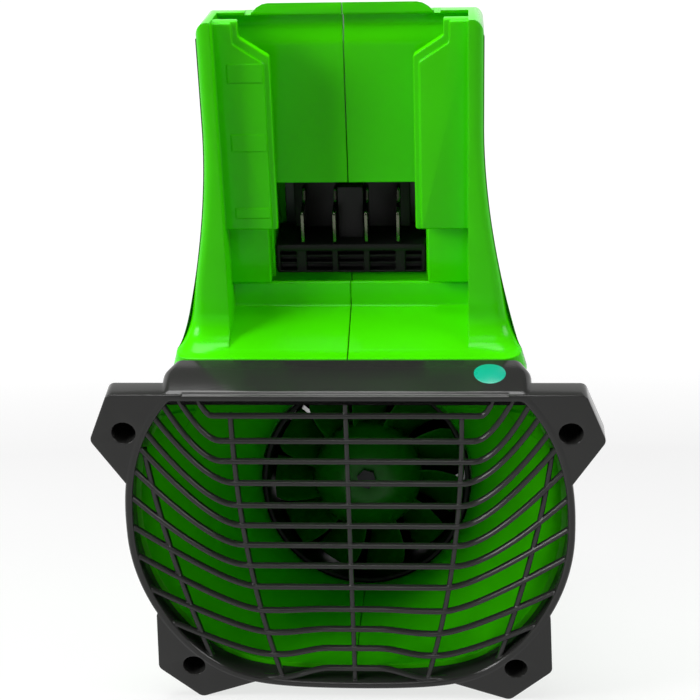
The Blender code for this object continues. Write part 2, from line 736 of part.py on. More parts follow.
# ---------------------------------------------------------------- fan and motor
def make_fan(green, steel):
    """Impeller with twisted blades, its shaft and the screw that holds it."""
    back = FAN_Y + FAN_LENGTH
    nose = [(HUB_R * math.sin(a), FAN_Y + 0.010 * (1 - math.cos(a)))
            for a in (math.pi / 2 * k / 5 for k in range(1, 6))]
    bore = SHAFT_R + SHAFT_CLEAR
    hub_back = [(HUB_R, back), (HUB_R - 0.003, back), (HUB_R - 0.003, back - 0.010),
                (bore + 0.004, back - 0.010), (bore + 0.004, back), (bore, back)]
    start = [(bore, FAN_Y + 0.0012), (NOSE_SCREW_R, FAN_Y + 0.0012)]
    hub = turned(start + nose + hub_back, steps=32)
    tip = BORE_R - TIP_GAP
    middle = FAN_Y + FAN_LENGTH * 0.58
    for k in range(BLADES):
        spin = Matrix.Rotation(2 * math.pi * k / BLADES, 4, "Y")
        rings = []
        for t in (0, 0.35, 0.7, 1.0):
            r = blend(HUB_R - 0.0012, tip, t)
            pitch = blend(PITCH_ROOT, PITCH_TIP, t)
            sweep = 0.004 * t * t
            along = Vector((math.cos(pitch), math.sin(pitch)))
            thick = Vector((-along.y, along.x)) * BLADE_SKIN / 2
            chord = BLADE_CHORD * blend(0.85, 1.0, t) / 2
            corners = [-along * chord + thick, along * chord + thick,
                       along * chord - thick, -along * chord - thick]
            ring = []
            for c in corners:
                around = (c.x + sweep) / r
                ring.append(spin @ Vector((r * math.sin(around), middle + c.y, r * math.cos(around))))
            rings.append(ring)
        join(hub, loft(rings))
    shaft = rod(SHAFT_R, (0, FAN_Y + 0.003, 0), (0, back + MOTOR_GAP + 0.020, 0), None, 20)
    screw = rod(NOSE_SCREW_R - 0.0006, (0, FAN_Y - 0.0016, 0), (0, FAN_Y + 0.0012 - GAP, 0), None, 6)
    join(screw, rod(SHAFT_R * 0.8, (0, FAN_Y, 0), (0, FAN_Y + 0.003 - GAP, 0), None, 12))
    return [name_piece(hub, "impeller", green), name_piece(shaft, "motor_shaft", steel),
            name_piece(screw, "impeller_screw", steel)]


def make_motor(black, steel, grey):
    """Motor can, its front bearing, the stator ring with its vanes, and the tail cone."""
    face = FAN_Y + FAN_LENGTH + MOTOR_GAP
    rear_end = face + MOTOR_LENGTH
    room = SHAFT_R + 0.0012
    can = turned([(BEARING_R + GAP, face), (MOTOR_R - 0.002, face), (MOTOR_R, face + 0.002),
                  (MOTOR_R, rear_end), (room, rear_end), (room, face + BEARING_LENGTH + GAP),
                  (BEARING_R + GAP, face + BEARING_LENGTH + GAP)], steps=32)
    bearing = turned([(SHAFT_R + SHAFT_CLEAR, face + 0.0002), (BEARING_R, face + 0.0002),
                      (BEARING_R, face + BEARING_LENGTH), (SHAFT_R + SHAFT_CLEAR, face + BEARING_LENGTH)],
                     steps=24)
    start = face + 0.008
    stop = start + STATOR_LENGTH
    cup = MOTOR_R + GAP
    stator = turned([(cup, start), (cup + CUP_WALL, start), (cup + CUP_WALL, stop), (cup, stop)],
                    steps=32)
    outer = BORE_R - GAP
    ring = turned([(outer - RING_WALL, start), (outer, start), (outer, stop), (outer - RING_WALL, stop)])
    for k in range(VANES):
        spin = Matrix.Rotation(2 * math.pi * (k + 0.5) / VANES, 4, "Y")
        rings = []
        for r in (cup + CUP_WALL * 0.5, outer - RING_WALL * 0.5):
            a, b = start + 0.001, stop - 0.001
            half = VANE_THICK / 2
            lean = 0.003
            rings.append([spin @ Vector(p) for p in (
                (-half - lean, a, r), (half - lean, a, r), (half + lean, b, r), (-half + lean, b, r))])
        vane = loft(rings)
        join(stator, vane)
    join(stator, ring)
    cone = turned([(0.004, rear_end + GAP), (MOTOR_R, rear_end + GAP),
                   (MOTOR_R * 0.86, rear_end + CONE_LENGTH * 0.5),
                   (CONE_TIP_R, rear_end + CONE_LENGTH), (0.004, rear_end + CONE_LENGTH)], steps=32)
    return [name_piece(can, "motor_can", steel), name_piece(bearing, "motor_bearing", steel),
            name_piece(stator, "stator_ring", grey), name_piece(cone, "tail_cone", black)]


# ---------------------------------------------------------------- tube, lock and controls
def make_tube(grey):
    start = DUCT_END - SPIGOT_LENGTH
    spigot = BORE_R - GAP
    step = DUCT_END + GAP
    wide = BORE_R + DUCT_WALL - 0.0005
    collar = step + COLLAR_LENGTH
    end = step + TUBE_LENGTH
    wall = TUBE_WALL
    tube = turned([
        (spigot, start), (spigot, step - 0.0001), (wide, step), (wide, collar),
        (wide - 0.0025, collar + 0.004), (TUBE_TIP_R + wall, end - 0.012), (TUBE_TIP_R + wall + 0.0012, end - 0.010),
        (TUBE_TIP_R + wall + 0.0012, end), (TUBE_TIP_R, end), (TUBE_TIP_R, end - 0.012),
        (spigot - wall, collar), (spigot - wall, start)])
    cut(tube, rod(BUTTON_R + BUTTON_CLEAR, (0, DUCT_END - BUTTON_BACK, BORE_R - 0.008),
                  (0, DUCT_END - BUTTON_BACK, BORE_R + 0.004), None, 16))
    return name_piece(tube, "blow_tube", grey)


def make_button(black):
    y = DUCT_END - BUTTON_BACK
    surface = BORE_R + DUCT_WALL
    head = surface + BUTTON_TRAVEL + 0.0006
    body = rod(BUTTON_R, (0, y, BORE_R - TUBE_WALL + 0.0004), (0, y, head + 0.001), None, 16)
    join(body, rod(BUTTON_HEAD_R, (0, y, head), (0, y, head + 0.0025), None, 24))
    return name_piece(body, "tube_lock_button", black)


def make_trigger(black, steel):
    """Trigger lever, its pin and the switch above it."""
    y, z = TRIGGER_PIVOT_Y, TRIGGER_PIVOT_Z
    end = y - TRIGGER_LENGTH
    low = HANDLE_TOP - GRIP_HEIGHT
    outline = rounded([
        (y + 0.005, z + 0.005, 0.003), (y + 0.005, z - 0.006, 0.003),
        (y - 0.006, low - TRIGGER_DROP * 0.45, 0.006), (y - 0.018, low - TRIGGER_DROP * 0.30, 0.012),
        (end + 0.001, low - TRIGGER_DROP * 0.55, 0.003), (end, low - TRIGGER_DROP * 0.30, 0.003),
        (end + 0.004, z + 0.002, 0.003)], 4)
    lever = plate(outline, -TRIGGER_HALF, TRIGGER_HALF, "X")
    cut(lever, rod(PIN_RADIUS + RUNNING, (-0.02, y, z), (0.02, y, z), None, 16))
    pin = rod(PIN_RADIUS, (-HANDLE_HALF + 0.0045, y, z), (HANDLE_HALF - 0.0045, y, z), None, 16)
    roof = HANDLE_TOP - 0.010
    swing = TRIGGER_LENGTH * math.sin(math.radians(9))
    switch_low = z + 0.002 + swing + 0.001
    switch = box((-TRIGGER_HALF + 0.0002, TRIGGER_HALF - 0.0002), (end + 0.001, y - 0.010),
                 (switch_low, roof - GAP))
    return [name_piece(lever, "trigger", black), name_piece(pin, "trigger_pin", steel),
            name_piece(switch, "trigger_switch", black)]


def make_lever(black):
    """A round speed lever with a thumb tab on the left side of the grip."""
    face = -HANDLE_HALF - GAP
    out = face - LEVER_THICK
    body = rod(LEVER_R, (face, LEVER_Y, LEVER_Z), (out, LEVER_Y, LEVER_Z), None, 28)
    join(body, rod(LEVER_R * 0.45, (face - 0.001, LEVER_Y, LEVER_Z),
                   (-HANDLE_HALF + 0.006 - GAP, LEVER_Y, LEVER_Z), None, 20))
    tab = rounded([(LEVER_Y - 0.003, LEVER_Z, 0), (LEVER_Y + 0.003, LEVER_Z, 0),
                   (LEVER_Y + 0.003, LEVER_Z + LEVER_R + 0.008, 0.002),
                   (LEVER_Y - 0.003, LEVER_Z + LEVER_R + 0.008, 0.002)])
    join(body, plate(tab, out + 0.0003, face - 0.0007, "X"))
    return name_piece(body, "speed_lever", black)


# ---------------------------------------------------------------- assembly
def set_origin(piece, place):
    """Move a piece's origin to a point of the duct frame, with its mesh left in place."""
    piece.data.transform(Matrix.Translation(-Vector(place)))
    piece.location = place


def main():
    clear_scene()
    green = finish("green plastic", (0.10, 0.62, 0.01), 0.30)
    grey = finish("dark grey plastic", (0.055, 0.055, 0.055), 0.38)
    black = finish("black plastic", (0.012, 0.012, 0.012), 0.45)
    metal = finish("plated contact", (0.62, 0.58, 0.50), 0.30, 1.0)
    steel = finish("dark steel", (0.09, 0.09, 0.095), 0.38, 1.0)
    board = finish("circuit board", (0.02, 0.16, 0.06), 0.45)

    pieces = make_housing(green)
    pieces.append(make_grille(grey))
    seat = FRAME_DEPTH + GAP + LUG_DEPTH - 0.003
    for k, (x, z) in enumerate(ear_holes()):
        place = REAR @ Vector((x, seat - GAP, z))
        pieces.append(make_screw(f"grille_screw_{k + 1}", place, REAR @ Vector((0, 1, 0)), steel))
    for k, (y, z, seat) in enumerate(housing_screws()):
        pieces.append(make_screw(f"housing_screw_{k + 1}", (seat + GAP, y, z), (-1, 0, 0), steel))
    pieces += make_terminals(black, metal, board)
    fan = make_fan(green, steel)
    pieces += fan
    pieces += make_motor(black, steel, grey)
    pieces.append(make_tube(grey))
    button = make_button(black)
    trigger, pin, switch = make_trigger(black, steel)
    lever = make_lever(black)
    pieces += [button, trigger, pin, switch, lever]

    for piece in fan:
        set_origin(piece, (0, FAN_Y, 0))
    set_origin(trigger, (0, TRIGGER_PIVOT_Y, TRIGGER_PIVOT_Z))
    set_origin(lever, (-HANDLE_HALF, LEVER_Y, LEVER_Z))
    set_origin(button, (0, DUCT_END - BUTTON_BACK, BORE_R + DUCT_WALL))

    machine = bpy.data.objects.new("blower", None)
    bpy.context.scene.collection.objects.link(machine)
    machine.location = (0, -middle_y(), axis_height())
    for piece in pieces:
        piece.parent = machine


main()
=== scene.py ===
# %% [markdown]
# # A cordless axial blower, seen from its intake
#
# The machine is a hand-held blower. Air enters through the dark grille at the back, a fan
# in the green duct drives it, and a long tube leads it out at the front. Above the grille
# stands the bay that takes the battery.
#
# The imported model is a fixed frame: it says where every part is and what moves. The cells
# below dress it with rounded edges, fine ribs and real plastic, and change no size.

# %% Load the frame
import json
import math

import bmesh
import bpy
from mathutils import Matrix, Vector


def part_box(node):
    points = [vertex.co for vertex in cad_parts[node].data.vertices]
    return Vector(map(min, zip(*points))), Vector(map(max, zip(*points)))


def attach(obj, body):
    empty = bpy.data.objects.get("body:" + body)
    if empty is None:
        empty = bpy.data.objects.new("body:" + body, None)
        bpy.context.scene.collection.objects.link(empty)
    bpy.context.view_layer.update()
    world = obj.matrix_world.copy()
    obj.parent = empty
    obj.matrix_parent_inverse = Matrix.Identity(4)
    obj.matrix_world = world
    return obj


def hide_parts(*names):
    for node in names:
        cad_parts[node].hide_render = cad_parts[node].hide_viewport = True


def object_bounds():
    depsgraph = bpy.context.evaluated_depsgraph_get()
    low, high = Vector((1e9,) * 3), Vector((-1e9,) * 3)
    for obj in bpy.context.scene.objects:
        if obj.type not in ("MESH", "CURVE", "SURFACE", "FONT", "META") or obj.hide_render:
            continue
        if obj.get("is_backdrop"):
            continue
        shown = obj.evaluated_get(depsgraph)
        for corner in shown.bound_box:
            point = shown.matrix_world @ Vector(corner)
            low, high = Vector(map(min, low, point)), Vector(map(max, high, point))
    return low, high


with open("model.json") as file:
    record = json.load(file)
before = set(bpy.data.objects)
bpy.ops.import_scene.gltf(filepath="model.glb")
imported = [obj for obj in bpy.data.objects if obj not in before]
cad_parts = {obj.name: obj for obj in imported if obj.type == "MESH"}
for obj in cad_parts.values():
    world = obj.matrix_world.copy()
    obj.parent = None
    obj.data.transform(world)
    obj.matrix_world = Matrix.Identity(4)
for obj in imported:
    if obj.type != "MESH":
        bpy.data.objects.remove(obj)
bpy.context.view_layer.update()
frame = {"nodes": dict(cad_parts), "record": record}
nodes = frame["nodes"]

# %% [markdown]
# The solids are drawn in two frames. The duct frame has its origin on the axis of the
# duct, with Y along the air flow. The rear frame shares that origin and leans back, because
# the grille and the battery bay face backwards and down. A matrix for each one lets every
# later cell use the numbers of the real part, and the tube's box says where the axis is.

# %% Duct frame and rear frame
LEAN = math.radians(24)
SPIGOT_Y = 0.198
tube_low, tube_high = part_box("blow_tube")
DUCT = Matrix.Translation(((tube_low.x + tube_high.x) / 2, tube_low.y - SPIGOT_Y,
                           (tube_low.z + tube_high.z) / 2))
REAR = DUCT @ Matrix.Rotation(LEAN, 4, "X")
print("duct axis is", round(DUCT.translation.z * 1000, 1), "mm above the floor")

# %% [markdown]
# The camera stands where the photographer stood: behind the machine, a little to its right
# and above the grille. It was worked out once in the rear frame from known lengths, as a
# place, two angles, a small roll and a focal length in pixels of a 700 pixel frame.

# %% Camera
def add(name, data):
    """A new object in the scene."""
    made = bpy.data.objects.new(name, data)
    bpy.context.scene.collection.objects.link(made)
    return made


FOCAL_PIXELS, FRAME_PIXELS = 1846, 700
eye = Vector((0.0363, -0.4753, 0.3229))
rise, swing, roll = math.radians(28.6), math.radians(4.1), math.radians(-2.0)
back = Vector((math.sin(swing) * math.cos(rise), -math.cos(swing) * math.cos(rise),
               math.sin(rise)))
right = (-back).cross(Vector((0, 0, 1))).normalized()
up = right.cross(-back)
side = math.cos(roll) * right + math.sin(roll) * up
top = -math.sin(roll) * right + math.cos(roll) * up
turn = Matrix((side, top, back)).transposed().to_4x4()
camera = add("camera", bpy.data.cameras.new("camera"))
camera.matrix_world = REAR @ Matrix.Translation(eye) @ turn
camera.data.lens = FOCAL_PIXELS / FRAME_PIXELS * camera.data.sensor_width
camera.data.clip_start, camera.data.clip_end = 0.01, 20
bpy.context.scene.camera = camera
bpy.context.scene.view_settings.view_transform = "Standard"
print("lens:", round(camera.data.lens, 1), "mm")

# %% [markdown]
# Four small helpers serve all the cells below: angles in equal steps, a node with its inputs
# given by name, links in pairs, and a span of numbers mapped onto another.

# %% Small helpers
def arc(steps, turn=math.pi / 2):
    """Angles from 0 to a turn in equal steps, with both ends."""
    return [turn * k / steps for k in range(steps + 1)]


def node(tree, kind, **values):
    """A new node with some of its inputs or settings given by name."""
    made = tree.nodes.new(kind)
    for key, value in values.items():
        label = key.replace("_", " ")
        if label in made.inputs:
            made.inputs[label].default_value = value
        else:
            setattr(made, key, value)
    return made


def wire(tree, *pairs):
    """Link each output to its input."""
    for output, socket in pairs:
        tree.links.new(output, socket)


def spread(tree, value, start, stop, low, high):
    """Map the span from start to stop onto low to high, and hold it there outside."""
    made = node(tree, "ShaderNodeMapRange", From_Min=start, From_Max=stop, To_Min=low,
                To_Max=high)
    tree.links.new(value, made.inputs["Value"])
    return made.outputs["Result"]


print("a quarter turn in thirds:", [round(math.degrees(a)) for a in arc(3)])

# %% [markdown]
# A product photograph is taken on a white sweep: a sheet that runs along the floor and
# curves up behind, so that no horizon shows. For the camera the sheet glows a little less
# close to the machine, so that its soft shadow stays. In reflections it glows less towards
# the camera's side, which keeps the colours deep.

# %% White sweep
PAPER = 0.20
SHEET_REACH, SHEET_TOP = 12.0, 4.0
BEND_START, BEND_R = 1.2, 0.9


def white_backdrop(name):
    """Pale paper that is lifted to white where the camera or a reflection sees it."""
    made = bpy.data.materials.new(name)
    made.use_nodes = True
    tree = made.node_tree
    paint = tree.nodes["Principled BSDF"]
    paint.inputs["Base Color"].default_value = (PAPER, PAPER, PAPER, 1)
    paint.inputs["Roughness"].default_value = 0.9
    seen = node(tree, "ShaderNodeLightPath").outputs
    place = node(tree, "ShaderNodeTexCoord").outputs["Object"]
    along, away = node(tree, "ShaderNodeSeparateXYZ"), node(tree, "ShaderNodeVectorMath")
    away.operation = "LENGTH"
    wire(tree, (place, along.inputs[0]), (place, away.inputs[0]))

    def combine(operation, first, second):
        step = node(tree, "ShaderNodeMath", operation=operation)
        wire(tree, (first, step.inputs[0]), (second, step.inputs[1]))
        return step.outputs[0]

    in_view = combine("MULTIPLY", seen["Is Camera Ray"],
                      spread(tree, away.outputs["Value"], 0.45, 1.3, 0.74, 1.0))
    mirrored = combine("MULTIPLY",
                       combine("MAXIMUM", seen["Is Glossy Ray"], seen["Is Transmission Ray"]),
                       spread(tree, along.outputs["Y"], -0.60, 0.0, 0.12, 1.0))
    glow, both = node(tree, "ShaderNodeEmission"), node(tree, "ShaderNodeAddShader")
    wire(tree, (combine("MAXIMUM", in_view, mirrored), glow.inputs["Strength"]),
         (paint.outputs[0], both.inputs[0]), (glow.outputs[0], both.inputs[1]),
         (both.outputs[0], tree.nodes["Material Output"].inputs["Surface"]))
    return made


def sweep_sheet():
    """The floor and the backdrop in one bent sheet."""
    shape = bmesh.new()
    profile = [(-SHEET_REACH, 0.0), (BEND_START, 0.0)]
    profile += [(BEND_START + BEND_R * math.sin(a), BEND_R - BEND_R * math.cos(a))
                for a in arc(12)[1:]]
    profile += [(BEND_START + BEND_R, SHEET_TOP)]
    near, far = [[shape.verts.new((x, y, z)) for y, z in profile]
                 for x in (-SHEET_REACH, SHEET_REACH)]
    for i in range(len(profile) - 1):
        shape.faces.new((near[i], far[i], far[i + 1], near[i + 1]))
    mesh = bpy.data.meshes.new("sweep")
    shape.to_mesh(mesh)
    shape.free()
    mesh.shade_smooth()
    sheet = add("sweep", mesh)
    mesh.materials.append(white_backdrop("sweep paper"))
    sheet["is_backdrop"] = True
    print("sweep:", len(mesh.polygons), "faces")


sweep_sheet()

# %% [markdown]
# A large soft light hangs overhead, a strong one stands low on the left, a weaker one on the
# right, and a faint one fills the front. The sky adds a little from everywhere.

# %% Lights
def soft_light(name, place, target, size, power):
    """A square soft box that looks at a target."""
    lamp = bpy.data.lights.new(name, "AREA")
    lamp.size = size
    lamp.energy = power
    made = add(name, lamp)
    made.location = place
    made.rotation_euler = (Vector(target) - Vector(place)).to_track_quat("-Z", "Y").to_euler()


soft_light("overhead", (-0.15, -0.45, 1.15), (0, -0.15, 0.1), 0.7, 12.5)
soft_light("left side", (-1.05, -0.90, 0.50), (0, -0.18, 0.1), 0.5, 13.0)
soft_light("right side", (1.05, -0.62, 0.55), (0, -0.18, 0.1), 0.5, 6.5)
soft_light("high front", (0.0, -1.25, 0.95), (0, -0.20, 0.12), 0.35, 1.0)

world = bpy.data.worlds.new("studio")
bpy.context.scene.world = world
world.use_nodes = True
sky = world.node_tree.nodes["Background"].inputs
sky["Color"].default_value, sky["Strength"].default_value = (1, 1, 1, 1), 0.10

# %% [markdown]
# Moulded plastic is never one flat colour. The pigment drifts a little over a hand's width,
# the polish of the mould leaves patches that are glossier than others, and the skin has a
# fine grain that only shows in the highlights. Three noises on the Object coordinates, at
# three scales, give just that, and one function makes every plastic on the machine.

# %% Moulded plastic
def noise(tree, scale, detail=2.0):
    """A noise on the object's own coordinates."""
    where = node(tree, "ShaderNodeTexCoord")
    made = node(tree, "ShaderNodeTexNoise", Scale=scale, Detail=detail)
    tree.links.new(where.outputs["Object"], made.inputs["Vector"])
    return made.outputs[0]


def between(tree, value, low, high):
    """Spread a noise, which mostly lies between 0.3 and 0.7, over low to high."""
    return spread(tree, value, 0.3, 0.7, low, high)


def moulded(name, colour, roughness, drift=0.06, grain=0.02, edge=0.0006, specular=0.5,
            metallic=0.0):
    """A moulded surface: pigment drift, uneven gloss, fine grain and softened edges."""
    made = bpy.data.materials.new(name)
    made.use_nodes = True
    tree = made.node_tree
    shader = tree.nodes["Principled BSDF"]
    shader.inputs["Metallic"].default_value = metallic
    shader.inputs["Specular IOR Level"].default_value = specular
    blend = node(tree, "ShaderNodeMix", data_type="RGBA")
    blend.inputs["A"].default_value = (*[c * (1 - drift) for c in colour], 1)
    blend.inputs["B"].default_value = (*[min(1, c * (1 + drift)) for c in colour], 1)
    bump = node(tree, "ShaderNodeBump", Strength=grain * 5, Distance=0.0001)
    soft = node(tree, "ShaderNodeBevel", Radius=edge, samples=4)
    gloss = between(tree, noise(tree, 75.0, 3.0), roughness * 0.88, roughness * 1.14)
    wire(tree, (between(tree, noise(tree, 22.0), 0, 1), blend.inputs["Factor"]),
         (blend.outputs["Result"], shader.inputs["Base Color"]),
         (gloss, shader.inputs["Roughness"]),
         (noise(tree, 1500.0, 1.0), bump.inputs["Height"]),
         (soft.outputs[0], bump.inputs["Normal"]), (bump.outputs[0], shader.inputs["Normal"]))
    return made


green = moulded("glossy green plastic", (0.055, 0.70, 0.0002), 0.18, drift=0.04, grain=0.006,
                specular=0.14)
# The fan has its own green, and it is made far darker than the housing's: painted shade for the fan
# that sits deep in the duct.
fan_green_painted_shade = moulded("fan green plastic with painted shade", (0.010, 0.24, 0.001), 0.30, drift=0.05, grain=0.01,
                    specular=0.30)
grey = moulded("dark grey gloss plastic", (0.022, 0.022, 0.021), 0.15, drift=0.08, grain=0.010,
               specular=0.34)
black = moulded("black matt plastic", (0.006, 0.006, 0.006), 0.36, drift=0.12, grain=0.03,
                specular=0.22)
contact = moulded("tarnished contact", (0.14, 0.15, 0.11), 0.26, drift=0.10, grain=0.01,
                  edge=0.0002, metallic=1.0)
steel = moulded("blackened steel", (0.035, 0.035, 0.037), 0.34, drift=0.12, grain=0.02,
                edge=0.0002, metallic=1.0)
laminate = moulded("circuit board", (0.004, 0.022, 0.012), 0.40, drift=0.10, grain=0.01)
teal = moulded("teal label film", (0.004, 0.38, 0.25), 0.30, drift=0.04, grain=0.004, edge=0.0001)
print("materials:", len(bpy.data.materials))

# %% [markdown]
# Small inner parts keep the shape that the frame gives them. They only get a better skin,
# through the material slots of their nodes.

# %% Skins for the parts that keep their shape
# The fan's slot gets the green that carries painted shade.
skins = {"green_shell": green, "green_fan": fan_green_painted_shade, "grey_plastic": grey,
         "black_plastic": black, "contact_metal": contact, "dark_steel": steel,
         "board": laminate}
for part in frame["record"]["subparts"]:
    skin = nodes[part["node"]].data.materials
    skin.clear()
    skin.append(skins[part["material_slot"]])

# %% [markdown]
# Most pieces start as rings of points that are joined into a skin. A loft closes the skin
# with a flat face at each end, and a wall closes it in a ring, out along the outside and back
# along the inside. Both give a closed body whose faces point outwards.

# %% Lofts, plates and turned bodies
def as_object(name, shape, place=None):
    """A bmesh as an object, with its place worked into the mesh."""
    bmesh.ops.recalc_face_normals(shape, faces=shape.faces)
    if place is not None:
        shape.transform(place)
    mesh = bpy.data.meshes.new(name)
    shape.to_mesh(mesh)
    shape.free()
    return add(name, mesh)


def loft(rings, place=None, name="loft", ends=True):
    """Rings of equal length joined into a skin: capped, or closed from last to first."""
    shape = bmesh.new()
    rows = [[shape.verts.new(p) for p in ring] for ring in rings]
    pairs = list(zip(rows, rows[1:])) + ([] if ends else [(rows[-1], rows[0])])
    count = len(rows[0])
    for one, other in pairs:
        for i in range(count):
            j = (i + 1) % count
            shape.faces.new((one[i], one[j], other[j], other[i]))
    if ends:
        shape.faces.new(rows[0])
        shape.faces.new(rows[-1])
    return as_object(name, shape, place)


def plate(outline, low, high, across, place=None, name="plate"):
    """A flat outline pushed along one axis."""
    order = {"X": lambda a, b, t: (t, a, b), "Y": lambda a, b, t: (a, t, b),
             "Z": lambda a, b, t: (a, b, t)}[across]
    return loft([[order(a, b, t) for a, b in outline] for t in (low, high)], place, name)


def turned(profile, place=None, steps=128, name="turned"):
    """A closed profile of (radius, y) turned about the duct's axis."""
    made = loft([[(r * math.cos(a), y, r * math.sin(a)) for r, y in profile]
                 for a in arc(steps, 2 * math.pi)[:-1]], None, name, ends=False)
    shape = bmesh.new()
    shape.from_mesh(made.data)
    bmesh.ops.remove_doubles(shape, verts=shape.verts, dist=1e-6)
    bmesh.ops.recalc_face_normals(shape, faces=shape.faces)
    if place is not None:
        shape.transform(place)
    shape.to_mesh(made.data)
    shape.free()
    return made


def rounded(corners, steps=6):
    """An outline whose corners (a, b, radius) are rounded by arcs."""
    points = []
    for i, (a, b, radius) in enumerate(corners):
        here = Vector((a, b))
        if radius <= 0:
            points.append((a, b))
            continue
        before = (Vector(corners[i - 1][:2]) - here).normalized()
        after = (Vector(corners[(i + 1) % len(corners)][:2]) - here).normalized()
        half = before.angle(after) / 2
        centre = here + (before + after).normalized() * radius / math.sin(half)
        start = here + before * radius / math.tan(half) - centre
        sweep_angle = start.angle_signed(here + after * radius / math.tan(half) - centre)
        for k in range(steps + 1):
            point = centre + Matrix.Rotation(-sweep_angle * k / steps, 2) @ start
            points.append((point.x, point.y))
    return points


def rod(radius, start, end, place=None, steps=32):
    """A round bar between two points."""
    start, end = Vector(start), Vector(end)
    side = (end - start).orthogonal().normalized()
    other = (end - start).normalized().cross(side)
    ring = [radius * (math.cos(a) * side + math.sin(a) * other)
            for a in arc(steps, 2 * math.pi)[:-1]]
    return loft([[centre + p for p in ring] for centre in (start, end)], place, "rod")


def box_outline(low_a, high_a, low_b, high_b):
    """The four corners of a rectangle."""
    return [(low_a, low_b), (high_a, low_b), (high_a, high_b), (low_a, high_b)]


print("shape helpers ready")

# %% [markdown]
# Blender's modifiers do the cutting and the rounding. Each is kept as a plain mesh at once,
# so that the next one starts from real faces. A finished piece is smooth-shaded up to a
# crease angle, rides on a body of the frame, and hides the nodes it stands for.

# %% Modifiers made plain, and the finished piece
def settle(piece):
    """Keep what the modifiers made, as a plain mesh."""
    seen = piece.evaluated_get(bpy.context.evaluated_depsgraph_get())
    mesh = bpy.data.meshes.new_from_object(seen)
    piece.modifiers.clear()
    piece.data = mesh
    return piece


def carve(piece, *tools, operation="DIFFERENCE"):
    """Cut tools away from a piece, or with UNION join them to it."""
    for tool in tools:
        step = piece.modifiers.new("carve", "BOOLEAN")
        step.operation, step.object, step.solver = operation, tool, "EXACT"
        settle(piece)
        bpy.data.objects.remove(tool)
    return piece


def weld(piece, *tools):
    """Join tools to a piece."""
    return carve(piece, *tools, operation="UNION")


def soften(piece, width, angle=35, segments=3):
    """Round every edge that is sharper than an angle."""
    step = piece.modifiers.new("soften", "BEVEL")
    step.width, step.segments = width, segments
    step.limit_method, step.angle_limit = "ANGLE", math.radians(angle)
    step.use_clamp_overlap = True
    return settle(piece)


def gather(name, pieces):
    """Several objects as one mesh."""
    shape = bmesh.new()
    for piece in pieces:
        shape.from_mesh(piece.data)
        bpy.data.objects.remove(piece)
    mesh = bpy.data.meshes.new(name)
    shape.to_mesh(mesh)
    shape.free()
    return add(name, mesh)


def dress(piece, name, material, body, stands_for=(), crease=38):
    """Name a piece, give it its finish, and let it ride on its body."""
    piece.name = piece.data.name = name
    piece.data.materials.clear()
    piece.data.materials.append(material)
    for face in piece.data.polygons:
        face.material_index = 0
    piece.data.shade_smooth()
    piece.data.set_sharp_from_angle(angle=math.radians(crease))
    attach(piece, body)
    if stands_for:
        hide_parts(*stands_for)
    print(name, len(piece.data.polygons), "faces")
    return piece


# %% [markdown]
# The intake's outline is an oval that is cut flat above and below. Its upper half is squarer
# than a circle, so the curve is a superellipse there. Everything round the intake is drawn
# from this one curve: the rim of the grille, the mouth of the housing and the ends of the
# bars.

# %% The intake's outline
FRAME_R, FRAME_DROP = 0.0700, 0.0030
FRAME_TOP, FRAME_FLAT, FLAT_SOFTNESS = 0.0475, 0.0645, 12
FRAME_RIM, FRAME_DEPTH = 0.0024, 0.0080
SQUARE_TOP, SQUARE_BOTTOM = 2.4, 2.0
HOOD_WALL = 0.0030
BAR_END_GAP = 0.0009
GAP = 0.0003
ROUND = 144


def spokes(count=ROUND):
    """Angles evenly round a circle, none of them on an axis."""
    return [2 * math.pi * (k + 0.5) / count for k in range(count)]


def flattened(depth, flat):
    """A depth below the duct's axis, held softly above the flat lower edge."""
    return flat * (1 + (flat / depth) ** FLAT_SOFTNESS) ** (-1 / FLAT_SOFTNESS)


def oval(angle, inset, top=FRAME_TOP):
    """A point (x, z) of the intake's outline, drawn in by inset."""
    c, s = math.cos(angle), math.sin(angle)
    power = 2 / (SQUARE_TOP if s > 0 else SQUARE_BOTTOM)
    size = FRAME_R - inset
    x = math.copysign(abs(c) ** power, c) * size
    if s > 0:
        return x, min(top - inset, abs(s) ** power * size - FRAME_DROP)
    return x, -flattened(abs(s) ** power * size + FRAME_DROP, FRAME_FLAT - inset)


def in_mouth(x, z, inset):
    """Whether a point of the right half lies inside the outline drawn in by inset."""
    size = FRAME_R - inset
    if x >= size or z >= FRAME_TOP - BAR_END_GAP:
        return False
    power = SQUARE_TOP if z > -FRAME_DROP else SQUARE_BOTTOM
    share = min(1.0, abs(z + FRAME_DROP) / size)
    depth = FRAME_DROP + math.sqrt(size ** 2 - x ** 2)
    beside = x < size * (1 - share ** power) ** (1 / power)
    return beside and -z < flattened(depth, FRAME_FLAT - inset)


FRAME_BOTTOM = -flattened(FRAME_R + FRAME_DROP, FRAME_FLAT)


def mix(a, b, t):
    """From a to b by the share t."""
    return a + (b - a) * t


def ease(value, low, high):
    """0 below low, 1 above high, smooth between."""
    t = min(1.0, max(0.0, (value - low) / (high - low)))
    return t * t * (3 - 2 * t)


print("intake:", round(FRAME_R * 2000), "mm wide")

# %% [markdown]
# The shroud behind the grille narrows from the leaning oval to the round duct, and the duct
# runs on to the tube. It is one thin wall. Its rings go forward along the outside and come
# back along the inside, which gives a smooth funnel with no cut at all. A thin tongue in the
# middle of the wall closes the seam, so that no light falls through it.

# %% Shroud and duct
BORE_R, DUCT_WALL = 0.0380, 0.0040
SHROUD_INSET, SHROUD_WALL = 0.0015, 0.0025
THROAT_Y, DUCT_END, DUCT_LIP = 0.0980, 0.2140, 0.0008
BUTTON_Y, BUTTON_R = 0.2060, 0.0042
MOUTH_Y = FRAME_DEPTH + GAP
MOUTH_TOP = FRAME_TOP - HOOD_WALL - GAP


